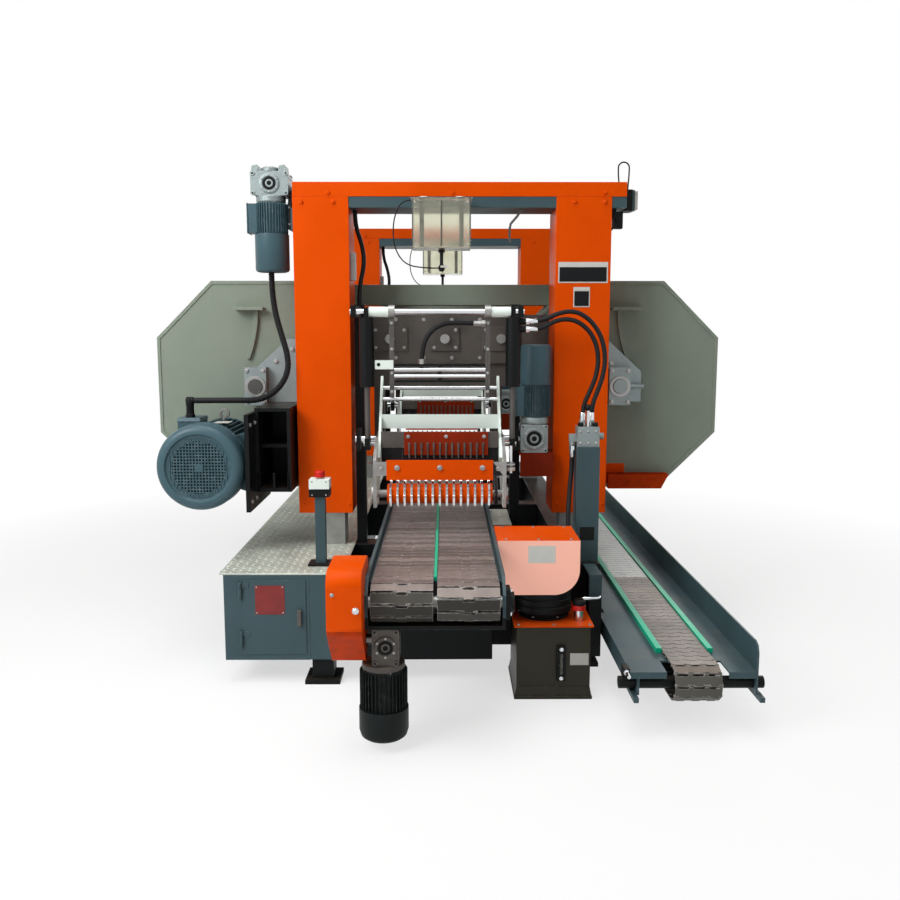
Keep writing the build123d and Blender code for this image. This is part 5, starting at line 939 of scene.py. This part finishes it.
def make_lube_tanks():
    kit = Kit("lubricant_tank")
    clear, white, steel, strap, tap, rubber = kit.pick(
        "clear_plastic", "grey_plastic", "bare_steel", "slate_paint", "black_paint", "rubber")
    half, depth, height, wall = 112, 128, 183, 5
    x, middle = (-half, half), (0, depth / 2)
    for face in GANTRIES.values():
        kit.stand((LUBE_X, face + LUBE_DEPTH, LUBE_Z))
        clear.box(x, (0, depth), (0, wall))
        for wall_x, wall_y in ((-half, 0), (half - wall, depth - wall)):
            clear.box((wall_x, wall_x + wall), (wall, depth - wall), (wall, height))
            clear.box(x, (wall_y, wall_y + wall), (wall, height))
        clear.box(inside(x, -5), (-5, depth), (height, height + 6))
        for cap_x in (-70, 70):
            white.lathe("z", (cap_x, middle[1]), [(6, 16), (14, 16), (17, 13)], 24, height)
        steel.screws("y", product(inside(x, 12), (14, height - 14)), 0, -1, 4)
        for strap_x in (-78, 78):
            strap.box(around(strap_x, 9), (depth, depth + 15), (173, 207))
            strap.box(around(strap_x, 9), (depth, depth + 5), (10, 173))
        clear.box((-3, 3), (-3, 0), (8, height - 6))
        tap.lathe("z", middle, [(-12, 13), (0, 13)], 6)
        rubber.rod("z", middle, (-58, -12), 7)
        tap.lathe("z", middle, [(-84, 6), (-80, 11), (-62, 11), (-58, 8)], 18)
        tap.box((-13, 13), around(middle[1], 5), (-76, -66))
        white.box((-4, 24), around(middle[1] - 14, 3), (-70, -62))
    kit.done(bevel=0.8, replaces=["lube_tanks"])


def make_hydraulic_unit():
    kit = Kit("hydraulic_unit", origin=(TANK_X[0], TANK_Y[0], 0))
    tank, lid, steel, dark, chrome, red, clear, grey = kit.pick(
        "tank_paint", "orange_paint", "bare_steel", "black_paint", "chrome", "red_plastic", "clear_plastic",
        "grey_plastic")
    width, depth = TANK_X[1] - TANK_X[0], TANK_Y[1] - TANK_Y[0]
    tank.box((6, width - 6), (6, depth), (46, TANK_H))
    tank.taper("z", rectangle((0, width), (0, depth)), (12, 46), 0.955)
    tank.box((-2, width + 2), (-2, depth), (0, 12))
    lid.box((-4, width + 4), (-4, depth), (TANK_H, LID_TOP))
    steel.bolts("z", product((12, width / 2, width - 10), (8, depth - 16)), LID_TOP, 1, 6)
    pump = (PUMP_R + 10, sum(HOOD_Y) / 2 - TANK_Y[0])
    dark.lathe("z", pump, [(0, 92), (8, 92), (9, 82), (20, 82)], 44, LID_TOP)
    bands = [(20, 96), (24, PUMP_R)]
    for groove in (46, 72):
        bands += [(groove, PUMP_R), (groove + 2, PUMP_R - 3), (groove + 6, PUMP_R - 3), (groove + 8, PUMP_R)]
    dark.lathe("z", pump, bands + [(HOOD_Z[1] - 3.5 - LID_TOP, PUMP_R)], 56, LID_TOP)
    steel.bolts("z", circle(6, 87, pump), LID_TOP + 8, 1, 5)
    cap = (width - 42, 62)
    chrome.rod("z", cap, (LID_TOP, LID_TOP + 40), 16)
    red.lathe("z", cap, [(40, 25), (56, 25), (58, 23)], 30, LID_TOP)
    dark.lathe("z", cap, [(58, 24), (72, 24), (78, 18)], 20, LID_TOP)
    gauge_x = width - 110
    dark.box(around(gauge_x, 16), (-8, 6), (70, 196))
    clear.rod("z", (gauge_x, -8), (96, 170), 6)
    chrome.bolts("y", [(gauge_x, 80), (gauge_x, 186)], -8, -1, 7)
    grey.box((width - 78, width - 12), (4.5, 6), (124, 168))
    kit.done(bevel=1.5, replaces=["hydraulic_tank"])


def make_hood_trim():
    """Bolts and a blank plate on the pump's hood, and the pipe from the tank to the valve post."""
    kit = Kit("pump_hood_trim")
    steel, grey, chrome = kit.pick("bare_steel", "grey_plastic", "chrome")
    hood_bolts = product((*inside(HOOD_X, 30), sum(HOOD_X) / 2), inside(HOOD_Y, 20))
    steel.bolts("z", hood_bolts, HOOD_Z[1], 1, 5)
    grey.box((322, 418), (HOOD_Y[0] - 1.2, HOOD_Y[0]), (492, 554))
    x, y, z = TANK_X[1] - 30, -BASE_HALF - 26, 332.0
    pipe = [(x, y, LID_TOP), (x, y, z - 14), (x + 4, y, z - 4), (x + 14, y, z), (VALVE_X + 6, y, z),
            (VALVE_X + 16, y + 4, z), (VALVE_X + 20, y + 14, z), (VALVE_X + 20, -BASE_HALF, z)]
    chrome.tube([Vector(point) for point in pipe], lambda reach: 6.0)
    chrome.lathe("z", (x, y), [(0, 12), (14, 12)], 6, LID_TOP)
    kit.done(bevel=0.6)


# Base and columns

LUG_PITCH = 30.0
POST_ROOM = ((-480, -370), (5, 155))  # free of lugs, across and in depth from a gantry's face
STATION_ROOM = (60, 54)  # free of lugs to each side of the stop button's post
LUG = [(-12, 0), (-7, -3), (7, -3), (12, 0), (7, 3), (-7, 3)]


def make_tread_lugs():
    """Raised bars of the tread plates, turned one way and the other by turns."""
    kit = Kit("tread_lug")
    lugs = kit["tread_steel"]
    post_x, post_y = POST_ROOM
    for x_limits, y_limits, level in ((TREAD_X, (-BASE_HALF, BASE_HALF), DECK_Z), (STEP_X, STEP_Y, STEP_Z)):
        columns, rows = [int((high - low) / LUG_PITCH) for low, high in (x_limits, y_limits)]
        for column, row in product(range(columns), range(rows)):
            x = x_limits[0] + LUG_PITCH * (column + 0.5)
            y = y_limits[0] + LUG_PITCH * (row + 0.5)
            near_post = post_x[0] < x < post_x[1] and any(
                post_y[0] < y - face < post_y[1] for face in GANTRIES.values())
            on_station = abs(x - STATION[0]) < STATION_ROOM[0] and abs(y - STATION[1]) < STATION_ROOM[1]
            if near_post or on_station:
                continue
            turn = Matrix.Rotation(math.radians(45 if (column + row) % 2 else -45), 4, "Z")
            with moved(Matrix.Translation((x, y, level - 0.2)) @ turn, lugs):
                lugs.taper("z", LUG, (0, 2.0), 0.55)
    kit.done()


def make_gantry_trim(name, face):
    """Bolts on the covers, and fittings under and beside a beam."""
    kit = Kit(f"{name}_gantry_trim", origin=(0, face, 0))
    steel, painted, dark, grey = kit.pick("wheel_iron", "orange_paint", "black_paint", "grey_plastic")
    middle = COLUMN_D / 2
    (left, left_end), (right, right_end) = COVER_LEFT, COVER_RIGHT
    beam_x = (left + 33, left_end - 61, right + 70, right_end - 29)
    painted.bolts("y", [(x, sum(BEAM_Z) / 2) for x in beam_x], 0, -1, 9)
    painted.bolts("y", [(x, 1838) for x in (-430, 60, 661)], 0, -1, 8)
    painted.bolts("z", [(x, middle) for x in (-500, -100, 250, 600)], BEAM_COVER_TOP, 1, 7)
    foot_x = (left + 20, left_end - 14, right + 20, right_end - 14)
    painted.screws("y", [(x, 592) for x in foot_x], 0, -1, 6)
    dark.box((BEAM_X[1] + 0.5, 784), around(middle, 38), (1778, 1862))
    grey.box((784, 806), around(middle, 34), (1784, 1856))
    dark.box((700, 716), (46, 74), (1744, BEAM_Z[0]))
    dark.box((704, 742), (42, 78), (1706, 1772))
    dark.box((694, 704), (54, 66), (1700, 1710))
    dark.rod("y", (723, 1740), (36, 42), 11)
    if name == "front":
        bent = [(338, BEAM_Z[0]), (318, 1752), (292, 1722), (288, 1700), (288, 1650)]
        steel.tube([Vector((x, 30, z)) for x, z in bent], lambda reach: 5.0, 10)
    dark.box((-594, -580), (30, 120), (1700, 1806))
    dark.box((-594, -588), (40, 110), (1806, LIFT_Z[0]))
    steel.bolts("y", [(-587, 1720), (-587, 1786)], 30, -1, 5)
    kit.done(bevel=0.8)


def make_housing_trim(name, face):
    """Rims and bolts on a head's wheel housings."""
    kit = Kit(f"{name}_housing_trim", f"{name}_head", (0, face, 0))
    paint, steel = kit.pick("housing_paint", "bare_steel")
    front, back = HOUSING_Y
    for x in (-WHEEL_X, WHEEL_X):
        outline = eight_sided(around(x, HOUSING_HALF[0]), around(WHEEL_Z, HOUSING_HALF[1]), HOUSING_CUT)
        for span in ((front, front - 4), (back, back + 4)):
            paint.rim("y", outline, drawn_in(outline, 0.97), span)
        line = drawn_in(outline, 0.94)
        sides = product(zip(line, line[1:] + line[:1]), (0.2, 0.8))
        places = [[a + (b - a) * share for a, b in zip(*side)] for side, share in sides]
        steel.bolts("y", places, back, 1, 6)
    kit.done(bevel=1.0)


def make_press_trim(name, face):
    """Bolts, bearing flanges, fingers, flap and chain links that swing with a press frame."""
    kit = Kit(f"{name}_press_trim", f"{name}_press_frame", (0, face, 0))
    steel, chrome, grey, dark, rubber, iron = kit.pick(
        "bare_steel", "chrome", "grey_plastic", "dark_steel", "rubber", "wheel_iron")
    steel.bolts("y", [(PRESS_MID + offset, 792) for offset in (-160, 0, 160)], PLATE_DEPTH, -1, 10)
    steel.bolts("y", [(x, 788) for x in around(PRESS_MID, 219)], PLATE_DEPTH, -1, 8)
    axle = (ROLLER_DEPTH, ROLLER_Z)
    for seat, out in ((-240, -1), (260, 1)):
        steel.ring("x", axle, (seat, seat + out * 9), 34, 16, 32)
        steel.bolts("x", circle(4, 27, axle, math.pi / 4), seat + out * 9, out, 4)
    steel.box((260, 292), (-306, -262), (800, 806))
    stop = (278, -284)
    chrome.rod("z", stop, (768, 872), 6)
    grey.lathe("z", stop, [(776, 14), (778, 17), (790, 17), (792, 14)])
    for seat, out in ((806, 1), (800, -1)):
        steel.bolts("z", [stop], seat, out, 9)
    first, last = inside(INNER_PLATE_X, 20)
    for step in range(FINGERS):
        finger_x = around(first + step * (last - first) / (FINGERS - 1), 4)
        dark.taper("z", rectangle(finger_x, (INNER_DEPTH - 5, INNER_DEPTH)), (872, 812), 0.6)
    bolt_x = (*inside(INNER_PLATE_X, 16), sum(INNER_PLATE_X) / 2)
    steel.bolts("y", [(x, 896) for x in bolt_x], INNER_DEPTH, -1, 7)
    strip = (FLAP_X[1] - FLAP_X[0]) / FLAP_STRIPS
    for step in range(FLAP_STRIPS):
        x = FLAP_X[0] + step * strip
        rubber.box((x, x + strip - 0.2), (INNER_DEPTH + 12, INNER_DEPTH + 16), (800, 880))
    chain_links(iron)
    kit.done(bevel=0.6)


def chain_links(shapes):
    """Side plates of the roller's chain, on its way from the pivot shaft to the roller."""
    down, along = ROLLER_Z - PIVOT_Z, ROLLER_DEPTH
    span = (0.0, math.hypot(down, along))
    length = 2 * span[1] + 2 * math.pi * CHAIN_R
    count = 2 * round(length / (2 * CHAIN_PITCH))
    pitch = length / count
    turned = Matrix.Translation((224, 0, PIVOT_Z)) @ Matrix.Rotation(math.atan2(down, along), 4, "X")
    oval = [(u * 0.9 * pitch, v * 4.6) for u, v in circle(10, 1.0)]
    for step in range(count):
        low, high = [loop_joint(span, 0.0, CHAIN_R, end * pitch) for end in (step, step + 1)]
        course = high - low
        tilt = Matrix.Rotation(math.atan2(course.z, course.y), 4, "X")
        inner = 4.2 if step % 2 else 5.6
        with moved(turned @ Matrix.Translation((low + high) / 2) @ tilt, shapes):
            for side in (-1, 1):
                shapes.prism("x", oval, (side * inner, side * (inner + 1.3)))


def make_stand_trim(name, face):
    """Small fittings on a hold-down's fixed links."""
    kit = Kit(f"{name}_stand_trim", origin=(0, face + CYLINDER_DEPTH, 0))
    steel, dark, white = kit.pick("bare_steel", "black_paint", "white_paint")
    shaft = (0, TOP_SHAFT_Z)
    steel.bolts("y", product(LINK_X, (1330, 1230, 1138, 1066)), -5, -1, 6)
    for x in LINK_X:
        steel.ring("x", shaft, around(x, 12), 26, 20.3)
    for x in (-265, 285):
        dark.ring("x", shaft, around(x, 1.5), 24, 13)
    white.box((-240, LINK_X[0] + 6), (-11, -5), (1153, 1188))
    dark.rod("y", (-226, 1171), (-11.6, -11), 7)
    steel.lathe("z", (-60, 0), [(1173, 14), (1192, 14)], 6)
    steel.lathe("x", (0, 1328), [(140, 11), (168, 11), (170, 14), (186, 14)], 6)
    kit.done(bevel=0.6)


def make_head_trim(name, face):
    """Bolts and pads on a saw head's plates and axle blocks."""
    kit = Kit(f"{name}_head_trim", f"{name}_head", (0, face, 0))
    steel, pads, dark = kit.pick("bare_steel", "dark_steel", "black_paint")
    front = 235
    steel.bolts("y", product((-300, -180, -60, 60, 180, 300, 420), (1184, 1346)), front, -1, 8)
    for middle, half in ((-205, 75), (30, 60), (270, 80)):
        x = around(middle, half)
        pads.box(x, (front - 10, front), (1214, 1316))
        steel.bolts("y", product(inside(x, 14), (1228, 1302)), front - 10, -1, 7)
        steel.rod("y", (middle, 1265), (front - 26, front - 10), 20)
    plate_bolts = ((-620, 1220), (-690, 1170), (-600, 1090), (740, 1160), (720, 1040))
    steel.bolts("y", plate_bolts, 215, -1, 10)
    for x in (-712, -652, -594):
        dark.prism("x", [(-100, 662), (-30, 662), (-100, 740)], around(x, 5))
    steel.bolts("x", product((-190, -100, 160), (640, 940)), -723, 1, 9)
    carrier = Kit(f"{name}_carrier_trim", f"{name}_idler_carrier", (0, face, 0))
    for trim, x in ((kit, -WHEEL_X), (carrier, WHEEL_X)):
        block = trim["bare_steel"]
        block.bolts("y", product(around(x, 34), around(WHEEL_Z, 66)), AXLE_DEPTH, -1, 9)
        block.ring("y", (x, WHEEL_Z), (AXLE_DEPTH - 7, AXLE_DEPTH), 44, 31)
        trim.done(bevel=0.8)


def make_plates():
    """Blank plates on a column, the valve post and the cabinet's door."""
    face = GANTRIES["front"]
    kit = Kit("blank_plate")
    grey, dark = kit.pick("grey_plastic", "black_paint")
    for x, (low, high), rim in (((481, 679), (1489, 1571), 5), ((543, 609), (1394, 1473), 4)):
        grey.box(x, (face - 1.2, face), (low, high))
        dark.box(inside(x, rim), (face - 1.8, face - 1.2), (low + rim, high - 4 * rim))
    dark.box(around(VALVE_X, 28), (-1201.2, -1200), (500, 552))
    kit.done()
    door = Kit("door_plate", "cabinet_door")
    plate, steel = door.pick("maroon_plate", "bare_steel")
    x, z, front = (-668, -560), (266, 375), -1385.7
    plate.box(x, (front, front + 1.2), z)
    steel.screws("y", product(inside(x, 6), inside(z, 6)), front, -1, 3)
    door.done()


def make_station_trim():
    """Two-coloured sides of the stop button's box, and caps on the valve block."""
    kit = Kit("station_trim")
    dark, white, steel = kit.pick("black_paint", "white_paint", "bare_steel")
    x, y = around(STATION[0], 37), around(STATION[1], 31)
    outer, inner = rectangle(inside(x, -1), inside(y, -1)), rectangle(x, y)
    dark.rim("z", outer, inner, (STATION_Z, STATION_Z + 30))
    white.rim("z", outer, inner, (STATION_Z + 30, STATION_Z + 66))
    steel.screws("y", product(around(STATION[0], 26), (STATION_Z + 8, STATION_Z + 58)), y[0] - 1, -1, 3)
    for cap_x in around(VALVE_X, 28):
        dark.lathe("z", (cap_x, VALVE_Y - 12), [(76, 11), (88, 11), (92, 8)], 20, VALVE_Z)
    block_x = (VALVE_X - 30, VALVE_X, VALVE_X + 30)
    steel.screws("y", product(block_x, (VALVE_Z + 14, VALVE_Z + 58)), VALVE_Y - 30, -1, 5)
    kit.done(bevel=0.6)


def make_drive_trim():
    """Bearing unit on the conveyor's right wall, take-up block and the chain guard's bolts."""
    kit = Kit("drive_trim")
    dark, chrome, steel = kit.pick("black_paint", "chrome", "bare_steel")
    y, z = CONVEYOR_Y[0], FEED_Z - SLAT_R
    seat = CONVEYOR_WALL_X + 14
    dark.box((CONVEYOR_WALL_X, seat), around(y, 30), around(z, 46))
    dark.ring("x", (y, z), (seat, seat + 12), 32, 20.5)
    chrome.bolts("x", [(y, level) for level in around(z, 36)], seat, 1, 8)
    block_y, take_up = around(-RETURN_HALF, 26), (612, 216)
    dark.box((604, 622), block_y, (190, 228))
    chrome.rod("y", take_up, (block_y[0] - 40, block_y[0]), 6)
    chrome.bolts("y", [take_up], block_y[0], -1, 9)
    guard_y = y - 125
    chrome.bolts("y", [(-232, 492)], guard_y, -1, 10)
    steel.bolts("y", [(-300, 540)], guard_y, -1, 6)
    kit.done(bevel=0.6)


# Stage

FLOOR_HALF = 40.0  # metres
FLOOR_FADE = (1.4, 3.4)  # metres from the middle
FLOOR_COLOUR = (0.92, 0.92, 0.92, 1.0)
STUDIO_COLOUR = (1.0, 0.97, 0.93, 1.0)
STUDIO_STRENGTH = 0.18
WHITE = (1.0, 1.0, 1.0, 1.0)
CAMERA = (0.030, -4.591, 1.311)
CAMERA_DOWN = 7.72  # degrees below level
CAMERA_RIGHT = 0.318  # degrees to the right of the feed


def make_stage():
    floor_mesh = bmesh.new()
    bmesh.ops.create_grid(floor_mesh, x_segments=1, y_segments=1, size=FLOOR_HALF)
    mesh_piece("floor", floor_mesh, floor_finish(), 0.0)
    scene = bpy.context.scene
    scene.world = bpy.data.worlds.new("studio")
    scene.world.use_nodes = True
    tree = scene.world.node_tree
    light = tree.nodes["Background"]
    fill(light, {"Color": STUDIO_COLOUR, "Strength": STUDIO_STRENGTH})
    white = added(tree, "Background", {"Color": WHITE, "Strength": 1.0})
    seen_mix(tree, seen_rays(tree), light, white, "World Output")
    lamp("key", (-3.0, -3.7, 3.3), (-0.4, -0.9, 0.9), 2.2, 150)
    lamp("fill", (3.6, -4.8, 2.6), (0.2, -0.8, 0.8), 3.0, 8)
    lamp("top", (-0.5, -2.0, 5.0), (0.0, -1.6, 0.5), 3.0, 30, 80)
    lamp("rear", (3.6, 4.4, 2.8), (0.2, 0.6, 0.9), 3.0, 95)
    scene.view_settings.view_transform = "Standard"


def seen_rays(tree):
    """One for rays that the camera, gloss or clear material sends, and zero for the light on surfaces."""
    path = added(tree, "LightPath").outputs
    first = joined(tree, "MAXIMUM", path["Is Camera Ray"], path["Is Glossy Ray"])
    return joined(tree, "MAXIMUM", first, path["Is Transmission Ray"])


def seen_mix(tree, share, lit, seen, output):
    """Shows one shader where rays are seen, and lets the other light the surfaces."""
    mix = added(tree, "MixShader", {0: share, 1: lit.outputs[0], 2: seen.outputs[0]})
    fill(tree.nodes[output], {"Surface": mix.outputs[0]})


def floor_finish():
    """Pale floor that runs out to white away from the machine."""
    material = bpy.data.materials.new("floor")
    material.use_nodes = True
    tree = material.node_tree
    shader = tree.nodes["Principled BSDF"]
    fill(shader, {"Base Color": FLOOR_COLOUR, "Roughness": 0.7})
    place = added(tree, "TexCoord").outputs["Object"]
    distance = added(tree, "VectorMath", {0: place}, operation="LENGTH").outputs["Value"]
    share = joined(tree, "MULTIPLY", ranged(tree, distance, *FLOOR_FADE, 0.62, 1.0), seen_rays(tree))
    seen_mix(tree, share, shader, added(tree, "Emission"), "Material Output")
    return material


def lamp(name, place, target, size, power, spread=180):
    light = bpy.data.lights.new(name, "AREA")
    light.size = size
    light.spread = math.radians(spread)
    light.energy = power
    piece = shown(name, light)
    piece.location = place
    piece.rotation_euler = (Vector(target) - Vector(place)).to_track_quat("-Z", "Y").to_euler()


def make_camera():
    camera = bpy.data.cameras.new("camera")
    camera.lens = 36.0
    camera.sensor_width = 36.0
    piece = shown("camera", camera)
    piece.location = CAMERA
    piece.rotation_euler = (math.radians(90 - CAMERA_DOWN), 0.0, math.radians(-CAMERA_RIGHT))
    bpy.context.scene.camera = piece


make_camera()
make_hoses()
dress_base()
make_geared_motors()
make_conveyors()
make_lube_tanks()
make_hydraulic_unit()
make_hood_trim()
make_tread_lugs()
make_plates()
make_station_trim()
make_drive_trim()
for gantry, gantry_face in GANTRIES.items():
    for make in (dress_gantry, make_main_motor, make_gantry_trim, make_housing_trim, make_press_trim,
                 make_stand_trim, make_head_trim):
        make(gantry, gantry_face)
make_stage()
